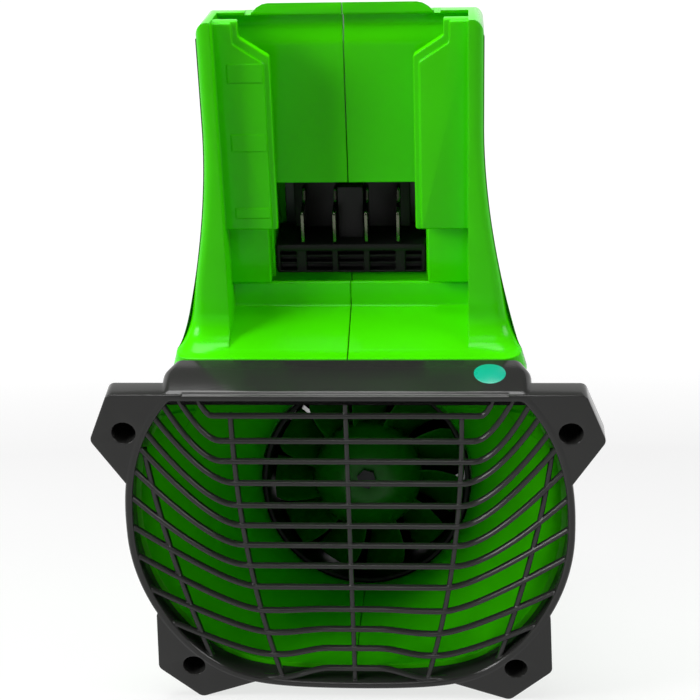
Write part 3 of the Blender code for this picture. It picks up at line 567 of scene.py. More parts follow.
def funnel(inset, mouth_y, radius, throat_y, levels=25):
    """Rings from the leaning oval to a round section of the duct, in the duct frame."""
    lean = Matrix.Rotation(LEAN, 4, "X")
    rings = []
    for level in range(levels):
        t = level / (levels - 1)
        share = math.sin(t * math.pi / 2) ** 1.15
        ring = []
        for angle in spokes():
            x, z = oval(angle, inset, top=MOUTH_TOP + SHROUD_INSET)
            start = lean @ Vector((x, mouth_y, z))
            ring.append((mix(start.x, radius * math.cos(angle), share),
                         mix(start.y, throat_y, t),
                         mix(start.z, radius * math.sin(angle), share)))
        rings.append(ring)
    return rings


def circle_ring(radius, y):
    """A round section of the duct."""
    return [(radius * math.cos(a), y, radius * math.sin(a)) for a in spokes()]


outer_r = BORE_R + DUCT_WALL
outside = funnel(SHROUD_INSET, MOUTH_Y, outer_r, THROAT_Y + 0.012)
outside += [circle_ring(outer_r, y) for y in (DUCT_END - 0.0305, DUCT_END - 0.0300)]
outside += [circle_ring(outer_r - DUCT_LIP * (1 - math.cos(a)),
                        DUCT_END - DUCT_LIP * (1 - math.sin(a))) for a in (0.0, 0.8, 1.57)]
inside = [circle_ring(BORE_R + 0.0004, DUCT_END), circle_ring(BORE_R, DUCT_END - 0.0005)]
inside += list(reversed(funnel(SHROUD_INSET + SHROUD_WALL, MOUTH_Y, BORE_R, THROAT_Y)))
shroud = loft(outside + inside, DUCT, "shroud", ends=False)


def at_seam(rings, k):
    """Where rings cross the seam, between their points k - 1 and k, as (y, z)."""
    return [((ring[k][1] + ring[k - 1][1]) / 2, (ring[k][2] + ring[k - 1][2]) / 2)
            for ring in rings]


tongues = []
for k in (ROUND // 4, ROUND * 3 // 4):
    pairs = list(zip(at_seam(outside[1:26], k), at_seam(reversed(inside[1:-1]), k)))
    outline = [(mix(o[0], i[0], depth), mix(o[1], i[1], depth))
               for depth, row in ((0.3, pairs), (0.7, reversed(pairs))) for o, i in row]
    tongues.append(plate(outline, -0.0010, 0.0001, "X", DUCT, "tongue"))
print("shroud:", len(shroud.data.polygons), "faces")

# %% [markdown]
# The tower that holds the battery is lofted upwards. Each ring is a rounded rectangle. It is
# widest at the foot, where its sides flare out like a bell and spread once more in a skirt
# towards the hood, and its front draws back from the hood through a small hollow curve.

# %% Battery tower
BAY_HALF, BAY_SIDE, BAY_TOP = 0.0370, 0.0045, 0.1538
BAY_RIM_Y, BAY_BACK_Y, TOWER_DEPTH = 0.0290, 0.0480, 0.0450
FLARE, FLARE_TOP, FLARE_FOOT = 0.0124, 0.1200, 0.0430
SKIRT, SKIRT_Y, DRAFT = 0.0040, 0.0330, 0.0050
SHELF_Z, SHELF_SLOPE = 0.0499, 0.21
FOOT_Z, FOOT_NARROW = 0.0120, 0.0260
HOOD_REACH = 0.0180
FRONT_Y = HOOD_REACH + GAP
SWEEP_R = 0.0100
CORNER_LOW, CORNER_HIGH, BACK_CORNER = 0.0060, 0.0030, 0.0100


def shelf(y):
    """Height of the sloping shelf in front of the bay."""
    return SHELF_Z + SHELF_SLOPE * (y - FRONT_Y)


def tower_half(z):
    """Half width of the tower at height z, with the bell of its foot."""
    rise = min(1.0, max(0.0, (FLARE_TOP - z) / (FLARE_TOP - FLARE_FOOT)))
    return BAY_HALF + BAY_SIDE + FLARE * rise ** 1.8


def tower_front(z):
    """Where the tower's front stands at height z: shelf, hollow curve, then the rim."""
    foot_y = BAY_RIM_Y - SWEEP_R
    foot = shelf(foot_y)
    if z >= foot + SWEEP_R:
        return BAY_RIM_Y
    if z >= foot:
        return foot_y + math.sqrt(max(0.0, SWEEP_R ** 2 - (foot + SWEEP_R - z) ** 2))
    return max(FRONT_Y, FRONT_Y + (z - SHELF_Z) / SHELF_SLOPE)


def skirt(y):
    """How much wider the tower gets near the hood."""
    return SKIRT * max(0.0, (SKIRT_Y - y) / (SKIRT_Y - FRONT_Y)) ** 1.6


def tower_ring(z):
    """The tower's section at height z, with its sides bowed out towards the hood."""
    half = tower_half(z) - FOOT_NARROW * (1 - ease(z, FOOT_Z - 0.010, FRAME_TOP - 0.004))
    near, far = tower_front(z), BAY_RIM_Y + TOWER_DEPTH
    corner = mix(CORNER_LOW, CORNER_HIGH, ease(z, 0.048, 0.075))
    drawn_in = half - DRAFT * (1 - ease(z, 0.060, 0.130))
    (x, y), *bow = [(half + skirt(y), y) for y in (mix(near, SKIRT_Y + 0.001, t)
                                                   for t in (0, 0.45, 0.7, 0.85, 1))]
    outline = [(-x, y, corner), (x, y, corner), *[(x, y, 0) for x, y in bow],
               (drawn_in, far, BACK_CORNER), (-drawn_in, far, BACK_CORNER),
               *[(-x, y, 0) for x, y in reversed(bow)]]
    return [(x, y, z) for x, y in rounded(outline, 10)]


heights = [FOOT_Z + 0.0040 * k for k in range(9)]
heights += [SHELF_Z + lift for lift in (-0.0020, -0.0006, 0, 0.0004, 0.0008)]
heights += [shelf(BAY_RIM_Y - SWEEP_R) + SWEEP_R * (1 - math.cos(a)) for a in arc(12)]
heights += [0.0620 + 0.0038 * k for k in range(16)]
heights += [0.1220 + 0.0060 * k for k in range(6)] + [BAY_TOP]
tower = loft([tower_ring(z) for z in sorted(heights)], REAR, "tower")
print("tower rings:", len(heights))

# %% [markdown]
# The tower's top slopes, and its back falls away towards the handle. Its two sides are
# rolled over like the edge of a cup, and a low crown rises in the middle of the back wall.

# %% Top of the tower
TOP_FALL, TOP_SKIN, TOP_REACH, TOP_DROP = 0.16, 0.0001, 0.0036, 0.0052
CROWN_Y, CROWN_SLOPE = 0.0545, math.radians(55)
CROWN_HALF, CROWN_LEVEL, CROWN_DROP = 0.0269, 0.0215, 0.0030
roof = BAY_TOP - TOP_SKIN
edge = roof - TOP_FALL * (CROWN_Y - BAY_RIM_Y)
far = BAY_RIM_Y + TOWER_DEPTH + 0.010
above = rounded([(BAY_RIM_Y - 0.002, 0.2, 0), (BAY_RIM_Y - 0.002, roof + TOP_FALL * 0.002, 0),
                 (CROWN_Y, edge, 0.009),
                 (far, edge - (far - CROWN_Y) * math.tan(CROWN_SLOPE), 0), (far, 0.2, 0)], 8)
carve(tower, plate(above, -0.08, 0.08, "X", REAR))
wide = tower_half(BAY_TOP)
for side in (1, -1):
    rolled = [(side * (wide - TOP_REACH * (1 - math.sin(a))), -TOP_DROP * (1 - math.cos(a)))
              for a in arc(10)]
    corner = [(side * (wide - TOP_REACH), 0.01), *rolled, (side * (wide + 0.01), -TOP_DROP),
              (side * (wide + 0.01), 0.01)]
    carve(tower, loft([[(x, y, z + BAY_TOP - TOP_FALL * (y - BAY_RIM_Y)) for x, z in corner]
                       for y in (0.0, 0.2)], REAR, "corner"))
soften(tower, 0.0018, 50, 6)
crown_side = rounded([(y, BAY_TOP + lift, radius) for y, lift, radius in (
    (0.0450, 0.0004, 0), (0.0540, -0.0026, 0.006), (0.0575, -0.0060, 0.006),
    (0.0620, -0.0160, 0), (0.0620, -0.0220, 0), (0.0450, -0.0100, 0))], 5)
crown_rings = []
for k in range(-16, 17):
    x = CROWN_HALF * k / 16
    drop = CROWN_DROP * max(0.0, (abs(x) - CROWN_LEVEL) / (CROWN_HALF - CROWN_LEVEL)) ** 2.2
    crown_rings.append([(x, y, z - drop) for y, z in crown_side])
weld(tower, loft(crown_rings, REAR, "crown"))
print("tower with its top:", len(tower.data.polygons), "faces")

# %% [markdown]
# The bay is one cut through the tower. Its outline is drawn from the side: sloping shelf,
# ledge, slot for the terminal block, back wall, and the overhanging lip at the top that
# throws a dark band on the wall. The pocket behind it takes the terminals. Only the edges
# that the cut makes are rounded.

# %% Battery bay
LEDGE_Y, LEDGE_Z = 0.0440, 0.0634
RAIL_STEP_Z = BAY_TOP - 0.0128
STEP_IN, LIP_OUT, LIP_HEIGHT = 0.0030, 0.0015, 0.0040
BLOCK_HALF, BLOCK_FRONT, BLOCK_DEPTH, PLATE_TOP = 0.0236, 0.0495, 0.0170, 0.0955
GROOVE_DEPTH, NOTCH_DEPTH = 0.0075, 0.0038
wall, outside_y, outside_z = BAY_BACK_Y, -0.010, BAY_TOP + 0.02
cut_outline = rounded([
    (outside_y, shelf(outside_y) + 0.00002, 0), (LEDGE_Y, shelf(LEDGE_Y) + 0.00002, 0.0008),
    (LEDGE_Y, LEDGE_Z, 0.0007), (wall, LEDGE_Z, 0), (wall, RAIL_STEP_Z, 0.004),
    (wall + STEP_IN, RAIL_STEP_Z + 0.0048, 0.003), (wall + STEP_IN, BAY_TOP - 0.0050, 0.0005),
    (wall - LIP_OUT, BAY_TOP - LIP_HEIGHT, 0.0012), (wall - LIP_OUT, outside_z, 0),
    (outside_y, outside_z, 0)], 4)
pocket = box_outline(wall - 0.002, BLOCK_FRONT + BLOCK_DEPTH + 0.004,
                     LEDGE_Z - 0.0001, PLATE_TOP + GAP)
groove = box_outline(LEDGE_Y + 0.0012, BLOCK_FRONT + 0.002, LEDGE_Z - GROOVE_DEPTH,
                     LEDGE_Z + 0.0001)
for outline, half in ((cut_outline, BAY_HALF), (pocket, BLOCK_HALF + GAP),
                      (groove, BAY_HALF - 0.0004)):
    carve(tower, plate(outline, -half, half, "X", REAR))
for side in (1, -1):
    notch = box_outline(side * CROWN_HALF, side * (CROWN_HALF + 0.0020), 0.045, 0.075)
    carve(tower, plate(notch, BAY_TOP - NOTCH_DEPTH, BAY_TOP + 0.01, "Z", REAR))
soften(tower, 0.0006, 40, 3)
print("tower with bay:", len(tower.data.polygons), "faces")

# %% [markdown]
# The battery slides down between two rails. Each rail is a plate with a cut corner, and a
# second, smaller plate lies on it, so that its inner edge shows as a pair of bright lines.
# Shallow pads cross the left one where the mould was fitted. Below, a thicker panel closes
# the slot beside the terminals.

# %% Rails
RAIL_Y, RAIL_THICK, RAIL_LOW, RAIL_LAYER = 0.0345, 0.0035, 0.0856, 0.0017
RAIL_INNER, RAIL_MOUTH, RAIL_CHAMFER, RAIL_TOP_GAP = 0.0210, 0.0298, 0.0060, 0.0019
RAIL_OUT = BAY_HALF + 0.001
PAD_IN, PAD_OUT = 0.0231, 0.0335
PADS = ((0.1335, 0.1392), (0.1118, 0.1172), (0.0900, 0.0933))
PANEL_IN, PANEL_Y, PANEL_LOW, PANEL_HIGH = 0.0245, 0.0400, 0.0652, 0.0875


def rail_outline(side, inset):
    """A rail's outline (x, z): cut corner at the top, and drawn in for its upper layer."""
    low, high = RAIL_LOW + inset * 0.3, BAY_TOP - RAIL_TOP_GAP - inset * 0.2
    return [(side * x, z) for x, z in rounded([
        (RAIL_OUT, low, 0), (RAIL_INNER + inset, low, 0.0008),
        (RAIL_INNER + inset, RAIL_STEP_Z - inset, 0.0012),
        (RAIL_MOUTH + inset, RAIL_STEP_Z + RAIL_CHAMFER - inset, 0.0012),
        (RAIL_MOUTH + inset, high, 0.0006), (RAIL_OUT, high, 0)], 4)]


rails = []
for side in (1, -1):
    layers = [(rail_outline(side, 0), RAIL_Y + 0.0009, RAIL_Y + RAIL_THICK, 0.0004, 3),
              (rail_outline(side, RAIL_LAYER), RAIL_Y, RAIL_Y + 0.0012, 0.0004, 3)]
    layers += [(box_outline(side * PAD_IN, side * PAD_OUT, low, high),
                RAIL_Y - 0.00018, RAIL_Y + 0.001, 0.00012, 1) for low, high in PADS if side < 0]
    layers.append((box_outline(side * PANEL_IN, side * RAIL_OUT, PANEL_LOW, PANEL_HIGH),
                   PANEL_Y, wall + 0.0006, 0.0005, 3))
    for outline, near, far, edge, steps in layers:
        rails.append(soften(plate(outline, near, far, "Y", REAR), edge, segments=steps))
print("rail parts:", len(rails))

# %% [markdown]
# The handle is drawn from the side and pushed out to its width, then all its edges are
# rounded generously, because a hand closes round it. A room for the trigger is cut from
# below, and a hole for the speed lever's stub from the left.

# %% Handle
HANDLE_HALF, HANDLE_TOP, HANDLE_FRONT = 0.0170, 0.1260, DUCT_END - 0.0260
GRIP_HEIGHT, FRONT_LEG = 0.0360, 0.0300
TRIGGER_Y, TRIGGER_Z, TRIGGER_HALF = HANDLE_FRONT - 0.0500, HANDLE_TOP - 0.0285, 0.0062
LEVER_PLACE, LEVER_R = (0.1590, 0.1010), 0.0095
STUB_R, STUB_END = LEVER_R * 0.45, -HANDLE_HALF + 0.0057
grip_low, leg_back = HANDLE_TOP - GRIP_HEIGHT, HANDLE_FRONT - FRONT_LEG
duct_top = outer_r - 0.008
grip_outline = rounded([
    (0.023, HANDLE_TOP, 0), (HANDLE_FRONT - 0.020, HANDLE_TOP - 0.004, 0.024),
    (HANDLE_FRONT, HANDLE_TOP - 0.045, 0.030), (HANDLE_FRONT + 0.004, duct_top, 0),
    (leg_back, duct_top, 0), (leg_back - 0.004, grip_low - 0.006, 0.014),
    (0.068, grip_low, 0.012), (0.060, grip_low - 0.014, 0), (0.046, grip_low - 0.012, 0)], 12)
handle = soften(plate(grip_outline, -HANDLE_HALF, HANDLE_HALF, "X"), 0.0080, 50, 8)
room_back, room_front = TRIGGER_Y - 0.0330 - 0.004, TRIGGER_Y + 0.007
room = rounded([(room_back, grip_low - 0.012, 0), (room_front, grip_low - 0.012, 0),
                (room_front, HANDLE_TOP - 0.010, 0.001), (room_back, HANDLE_TOP - 0.010, 0.001)])
carve(handle, plate(room, -TRIGGER_HALF - 0.0006, TRIGGER_HALF + 0.0006, "X"),
      rod(STUB_R + GAP, (-0.03, *LEVER_PLACE), (STUB_END + GAP, *LEVER_PLACE)))
handle.data.transform(DUCT)
print("handle:", len(handle.data.polygons), "faces")

# %% [markdown]
# The foot is a block under the duct that ends on the floor. A lug stands behind each of the
# grille's ears. It is a round nose with a web towards the shroud, it tapers to its tip, and
# it takes the ear's tube and the screw.

# %% Foot and lugs
EAR_HOLE_R, EAR_TOP, EAR_LOW = 0.0037, (0.0677, 0.0342), (0.0523, -0.0543)
EAR_SEAT, EAR_TUBE_R, SCREW_R = 0.0150, 0.0047, 0.0018
EAR_TUBE_END = EAR_SEAT + 0.0015
LUG_R, LUG_TIP_R, LUG_END, LUG_INWARD = 0.0062, 0.0036, 0.0235, 0.74
ear_holes = [(side * x, z) for x, z in (EAR_TOP, EAR_LOW) for side in (1, -1)]
FOOT_Y, FOOT_LENGTH, FOOT_HALF = 0.1600, 0.0400, 0.0200
foot_low, foot_top = -DUCT.translation.z, -outer_r + 0.010
foot_back, foot_front = FOOT_Y - FOOT_LENGTH / 2, FOOT_Y + FOOT_LENGTH / 2
foot_outline = rounded([(foot_back - 0.010, foot_top, 0), (foot_back, foot_low, 0.003),
                        (foot_front, foot_low, 0.003), (foot_front + 0.006, foot_top, 0)])
foot = soften(plate(foot_outline, -FOOT_HALF, FOOT_HALF, "X", DUCT), 0.0015, 50, 4)


def lug_outline(x, z, radius):
    """A round nose about the hole, with a web that runs inwards to the shroud."""
    out = Vector((x, z)).normalized()
    tangent, inward = Vector((-out.y, out.x)) * radius, Vector((x, z)) * LUG_INWARD
    start = math.atan2(out.y, out.x)
    nose = [(x + radius * math.cos(a), z + radius * math.sin(a))
            for a in (start + math.pi * (k / 20 - 0.5) for k in range(21))]
    return nose + [tuple(inward + tangent), tuple(inward - tangent)]


lugs = []
for x, z in ear_holes:
    lug = loft([[(a, y, b) for a, b in lug_outline(x, z, radius)]
                for y, radius in ((MOUTH_Y, LUG_R), (LUG_END, LUG_TIP_R))], REAR, "lug")
    carve(lug, rod(EAR_TUBE_R + GAP, (x, MOUTH_Y - 0.002, z), (x, EAR_TUBE_END + GAP, z),
                   REAR, 48),
          rod(SCREW_R + GAP, (x, EAR_TUBE_END, z), (x, LUG_END - 0.0005, z), REAR))
    lugs.append(soften(lug, 0.0005))
print("foot and", len(lugs), "lugs")

# %% [markdown]
# Inside, nothing may stand in the air's way: the funnel's inner shape is cut out of the
# tower, foot and lugs. Then the whole shell is split down the middle, as the real one is
# moulded in two halves, and the hairline gap between them is the dark seam in the picture.

# %% Two halves
HEAD_R, HEAD_HIGH = 0.0034, 0.0024
SEAM_HALF, HOLE_PLAY = 0.00014, 0.0004
hollow = funnel(SHROUD_INSET + SHROUD_WALL / 2, MOUTH_Y - 0.004, BORE_R + 0.001, THROAT_Y)
hollow.append(circle_ring(BORE_R + 0.001, DUCT_END + 0.005))
for part in (tower, foot, *lugs):
    carve(part, loft(hollow, DUCT, "hollow"))


def half_of(pieces, side, name):
    """One side of the shell, cut off a hair beside the middle and closed there."""
    shape = bmesh.new()
    for piece in pieces:
        shape.from_mesh(piece.data)
    seam = Vector((side * SEAM_HALF, 0, 0))
    cut = bmesh.ops.bisect_plane(
        shape, geom=[*shape.verts, *shape.edges, *shape.faces], dist=1e-7, plane_co=seam,
        plane_no=(side, 0, 0), clear_inner=True)
    rim = [g for g in cut["geom_cut"] if isinstance(g, bmesh.types.BMEdge)]
    bmesh.ops.holes_fill(shape, edges=rim, sides=0)
    return as_object(name, shape)


shell_screws = []
for k, part in zip(range(1, 7), (tower, tower, handle, handle, foot, foot)):
    low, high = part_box(f"housing_screw_{k}")
    y, z, seat = (low.y + high.y) / 2, (low.z + high.z) / 2, high.x - HEAD_HIGH
    carve(part, rod(HEAD_R + GAP, (0.08, y, z), (seat - GAP, y, z), steps=48),
          rod(SCREW_R + GAP, (seat, y, z), (low.x - GAP, y, z)))
    shell_screws.append((seat, y, z))
carve(shroud, rod(BUTTON_R + HOLE_PLAY, (0, BUTTON_Y, BORE_R - 0.004),
                  (0, BUTTON_Y, outer_r + 0.004), DUCT, 48))
shell = [tower, shroud, handle, foot, *lugs, *rails]
for side, name in ((-1, "housing_left"), (1, "housing_right")):
    half = half_of(shell, side, name)
    if side < 0:
        half = gather(name, [half, *tongues])
    dress(half, name + "_shell", green, "machine", [name], 32)
for part in shell:
    bpy.data.objects.remove(part)
print("shell split at the seam")

# %% [markdown]
# The grille's frame is a thin rim that follows the oval, with a rounded nose. Four ears
# stand out from it with a hole for a screw in each, and a hood reaches forward over the
# housing. The rim is one ring of small sections, so its nose stays even all the way round.

# %% Grille frame
HOOD_HALF, HOOD_RISE, HOOD_NOSE, HOOD_THIN = 0.0560, 0.0025, 0.0010, 0.0014
HOOD_TAPER, HOOD_TAPER_Y, HOOD_ROUND = 0.0025, 0.0120, 0.0010
RIM_TOP_GAP, RIM_TOP_SLOPE, RIM_NOSE = 0.0002, 0.55, 0.0010
EARS = ((EAR_TOP, [(0.0490, 0.0475, 0), (0.0719, 0.0475, 0.0022), (0.0784, 0.0315, 0.0028),
                   (0.0684, 0.0156, 0.001), (0.0560, 0.0200, 0)]),
        (EAR_LOW, [(0.0630, -0.0330, 0.001), (0.0640, -0.0553, 0.0028),
                   (0.0505, -0.0671, 0.0025), (0.0320, -0.0605, 0.001), (0.0300, -0.0450, 0)]))


def nose(thick, depth, radius, steps=6):
    """A wall's section (inset, y) with a round nose at y = 0."""
    points = [(radius * (1 - math.cos(a)), radius * (1 - math.sin(a))) for a in arc(steps)]
    points += [(thick - i, y) for i, y in reversed(points)]
    return points + [(thick, depth), (0, depth)]


def along_y(radius, x, z, start, stop, steps=48):
    """A round bar at (x, z) of the rear frame."""
    return rod(radius, (x, start, z), (x, stop, z), REAR, steps)


rim_rings = []
for angle in spokes(240):
    ring = []
    for inset, y in nose(FRAME_RIM, FRAME_DEPTH, RIM_NOSE):
        x, z = oval(angle, inset)
        roof = FRAME_TOP - RIM_TOP_GAP - inset * RIM_TOP_SLOPE
        ring.append((x, y, min(z, roof) if z > 0 else z))
    rim_rings.append(ring)
parts = [loft(rim_rings, REAR, "rim", ends=False)]
for side in (1, -1):
    for (x, z), outline in EARS:
        ear = plate([(side * a, b) for a, b in rounded(outline)], 0.0002, FRAME_DEPTH, "Y", REAR)
        mouth = [oval(a, FRAME_RIM * 0.5) for a in spokes()]
        carve(ear, plate(mouth, -0.002, FRAME_DEPTH + 0.002, "Y", REAR))
        weld(ear, along_y(EAR_TUBE_R, side * x, z, 0.004, EAR_TUBE_END))
        carve(ear, along_y(EAR_HOLE_R, side * x, z, -0.002, EAR_SEAT),
              along_y(SCREW_R + GAP, side * x, z, 0.010, EAR_TUBE_END + 0.002, 32))
        parts.append(soften(ear, 0.0009, 40, 4))


def hood_top(y):
    """Height of the hood's upper face."""
    return FRAME_TOP + HOOD_RISE * math.sin(math.pi / 2 * y / HOOD_REACH)


def hood_section(y, drawn):
    """The hood's section: a flat cap that narrows a little at its back."""
    high = hood_top(y) - drawn
    taper = max(0.0, y - HOOD_TAPER_Y) / (HOOD_REACH - HOOD_TAPER_Y)
    half = HOOD_HALF - HOOD_TAPER * taper - drawn
    low = FRAME_TOP - HOOD_THIN + drawn * 0.5
    return [(x, y, z) for x, z in rounded([
        (half, low, 0), (half, high, 0.0030), (-half, high, 0.0030), (-half, low, 0)], 8)]


hood_rings = [hood_section(HOOD_NOSE + HOOD_ROUND * (1 - math.sin(a)),
                           HOOD_ROUND * (1 - math.cos(a))) for a in reversed(arc(6))]
hood_rings += [hood_section(mix(HOOD_NOSE + 0.0012, HOOD_REACH - 0.0005, k / 12), 0.0)
               for k in range(13)]
hood_rings.append(hood_section(HOOD_REACH, 0.0005))
parts.append(loft(hood_rings, REAR, "hood"))
print("grille frame parts:", len(parts))

# %% [markdown]
# Thirteen bars cross the intake. Each is level in the middle and sweeps up at both sides,
# and the lowest ones dip before they rise. Five upright ribs tie them together from behind.
# A formula gives the centre lines, and a small Geometry Nodes tree turns every line into a
# bar: mesh to curve, a rounded rectangle as the profile, then curve to mesh.

# %% Tree that turns lines into bars
def new_tree(name, inputs):
    """An empty Geometry Nodes tree with a geometry input and named inputs."""
    tree = bpy.data.node_groups.new(name, "GeometryNodeTree")
    tree.interface.new_socket("Geometry", in_out="INPUT", socket_type="NodeSocketGeometry")
    tree.interface.new_socket("Geometry", in_out="OUTPUT", socket_type="NodeSocketGeometry")
    for label, kind, value in inputs:
        made = tree.interface.new_socket(label, in_out="INPUT", socket_type=kind)
        if value is not None:
            made.default_value = value
    return tree, tree.nodes.new("NodeGroupInput"), tree.nodes.new("NodeGroupOutput")


def finish_tree(tree, start, geometry, end):
    """Every tree ends in Realize Instances and Set Material."""
    real, paint = node(tree, "GeometryNodeRealizeInstances"), node(tree, "GeometryNodeSetMaterial")
    wire(tree, (geometry, real.inputs["Geometry"]),
         (real.outputs["Geometry"], paint.inputs["Geometry"]),
         (start.outputs["Material"], paint.inputs["Material"]),
         (paint.outputs["Geometry"], end.inputs["Geometry"]))


def grow(name, tree, values, mesh=None):
    """Run a tree on a mesh and keep the result as a plain object."""
    carrier = add(name, mesh or bpy.data.meshes.new(name))
    step = carrier.modifiers.new("nodes", "NODES")
    step.node_group = tree
    for item in tree.interface.items_tree:
        if item.in_out == "INPUT" and item.name in values:
            step[item.identifier] = values[item.name]
    return settle(carrier)


bar_tree, start, end = new_tree("bars along lines", [
    ("Width", "NodeSocketFloat", 0.0016), ("Depth", "NodeSocketFloat", 0.0022),
    ("Corner", "NodeSocketFloat", 0.0007), ("Material", "NodeSocketMaterial", None)])
curve = node(bar_tree, "GeometryNodeMeshToCurve")
normal = node(bar_tree, "GeometryNodeSetCurveNormal", mode="Z_UP")
profile = node(bar_tree, "GeometryNodeCurvePrimitiveQuadrilateral")
fillet = node(bar_tree, "GeometryNodeFilletCurve", mode="POLY")
fillet.inputs["Count"].default_value = 4
skin = node(bar_tree, "GeometryNodeCurveToMesh", Fill_Caps=True)
wire(bar_tree, (start.outputs["Geometry"], curve.inputs["Mesh"]),
     (curve.outputs["Curve"], normal.inputs["Curve"]),
     (start.outputs["Width"], profile.inputs["Width"]),
     (start.outputs["Depth"], profile.inputs["Height"]),
     (profile.outputs["Curve"], fillet.inputs["Curve"]),
     (start.outputs["Corner"], fillet.inputs["Radius"]),
     (normal.outputs["Curve"], skin.inputs["Curve"]),
     (fillet.outputs["Curve"], skin.inputs["Profile Curve"]))
finish_tree(bar_tree, start, skin.outputs["Mesh"], end)
print("tree:", bar_tree.name, len(bar_tree.nodes), "nodes")

# %% [markdown]
# The lines lie flat in their own plane, with the depth behind the rim as a third number,
# and a quarter turn stands them up in the rear frame.

# %% Bars and ribs
BARS = [(0.0394, 0.0405, 16.5, 0.040), (0.0305, 0.0384, 4.30, 0.030),
        (0.0232, 0.0383, 4.00, 0.040), (0.0153, 0.0350, 2.76, 0.040),
        (0.0071, 0.0345, 2.48, 0.040), (-0.0004, 0.0335, 1.74, 0.025),
        (-0.0078, 0.0333, 1.50, 0.025), (-0.0156, 0.0320, 1.33, 0.030),
        (-0.0238, 0.0295, 0.82, 0.015), (-0.0324, 0.0281, 0.74, 0.015),
        (-0.0403, 0.0260, 0.62, 0.015), (-0.0480, 0.0262, 0.58, 0.015),
        (-0.0561, 0.0400, 0.50, 0.015)]
BAR_WIDTH, BAR_DEPTH, BAR_SET_BACK, BAR_DIP = 0.0016, 0.0018, 0.0009, 0.0040
RIB_WIDTH, RIB_DEPTH, RIB_SET_BACK = 0.0016, 0.0026, 0.0016
INNER_RIB, OUTER_RIB = (0.0350, 0.0115, 2.2), (0.0630, 0.0190, 1.6)
RIB_HIGH, RIB_LOW = 0.0394, -0.0615
OUTER_RIB_HIGH, OUTER_RIB_LOW = 0.0270, -0.0535
BAR_CORNER, BAR_STEP = 0.0007, 0.0002
DIP_FROM, DIP_SPAN = 8, 4


def rib_x(z, rib):
    """How far a rib (top half distance, pull inwards, power) stands from the middle."""
    return rib[0] - rib[1] * min(1.0, (RIB_HIGH - z) / (RIB_HIGH - RIB_LOW)) ** rib[2]


def bar_z(index, x):
    """Height of a bar at x: level in the middle, swept up towards both sides."""
    height, start, steep, gentle = BARS[index]
    out = max(0.0, abs(x) - start)
    dip = BAR_DIP * max(0.0, (index - DIP_FROM) / DIP_SPAN) ** 1.3 * ease(abs(x), 0.008, 0.024)
    return height + steep * out * out / (out + gentle) - dip


def bar_end(index):
    """Where a bar runs into the rim, stepping outwards from the middle."""
    x = 0.0
    while in_mouth(x, bar_z(index, x), FRAME_RIM * 0.4):
        x += BAR_STEP
    return x


def lines(paths, depth):
    """Polylines as a mesh of edges, at one depth behind the rim's front."""
    points, edges = [], []
    for path in paths:
        edges += [(len(points) + i, len(points) + i + 1) for i in range(len(path) - 1)]
        points += [(x, z, -depth) for x, z in path]
    mesh = bpy.data.meshes.new("lines")
    mesh.from_pydata(points, edges, [])
    return mesh


bar_paths = []
for index in range(len(BARS)):
    reach = bar_end(index)
    bar_paths.append([(x, bar_z(index, x)) for x in (reach * k / 36 for k in range(-36, 37))])
rib_foot = FRAME_BOTTOM + FRAME_RIM * 0.5
rib_paths = [[(0, mix(FRAME_TOP - BAR_END_GAP, rib_foot, k / 24)) for k in range(25)]]
for side in (1, -1):
    for rib, high, low in ((INNER_RIB, RIB_HIGH, rib_foot),
                           (OUTER_RIB, OUTER_RIB_HIGH, OUTER_RIB_LOW)):
        rib_paths.append([(side * rib_x(z, rib), z)
                          for z in (mix(high, low, k / 32) for k in range(33))])
stand = REAR @ Matrix.Rotation(math.radians(90), 4, "X")
for name, paths, width, depth, set_back in (
        ("bars", bar_paths, BAR_WIDTH, BAR_DEPTH + 0.0004, BAR_SET_BACK),
        ("ribs", rib_paths, RIB_WIDTH, RIB_DEPTH, RIB_SET_BACK)):
    made = grow(name, bar_tree, {"Width": width, "Depth": depth, "Corner": BAR_CORNER,
                                 "Material": grey}, lines(paths, set_back + depth / 2))
    made.data.transform(stand)
    parts.append(made)
grille = gather("intake_grille", parts)
dress(grille, "intake_grille_dressed", grey, "machine", ["intake_grille"], 42)
print("bars:", len(bar_paths), "ribs:", len(rib_paths))

# %% [markdown]
# What repeats on the machine is made once and set out by a small tree. One tree puts copies
# of a piece on the vertices of a carrier mesh, turned by an angle that is one of its inputs.
# The other spaces a given number of copies evenly round the duct's axis.

# %% Two trees that set out copies
def copies_tree():
    """Copies of a piece on points."""
    tree, start, end = new_tree("copies on points", [
        ("Piece", "NodeSocketObject", None), ("Turn", "NodeSocketVector", None),
        ("Material", "NodeSocketMaterial", None)])
    piece = node(tree, "GeometryNodeObjectInfo")
    turn = node(tree, "FunctionNodeEulerToRotation")
    copies = node(tree, "GeometryNodeInstanceOnPoints")
    wire(tree, (start.outputs["Piece"], piece.inputs["Object"]),
         (start.outputs["Turn"], turn.inputs["Euler"]),
         (start.outputs["Geometry"], copies.inputs["Points"]),
         (piece.outputs["Geometry"], copies.inputs["Instance"]),
         (turn.outputs["Rotation"], copies.inputs["Rotation"]))
    finish_tree(tree, start, copies.outputs["Instances"], end)
    return tree


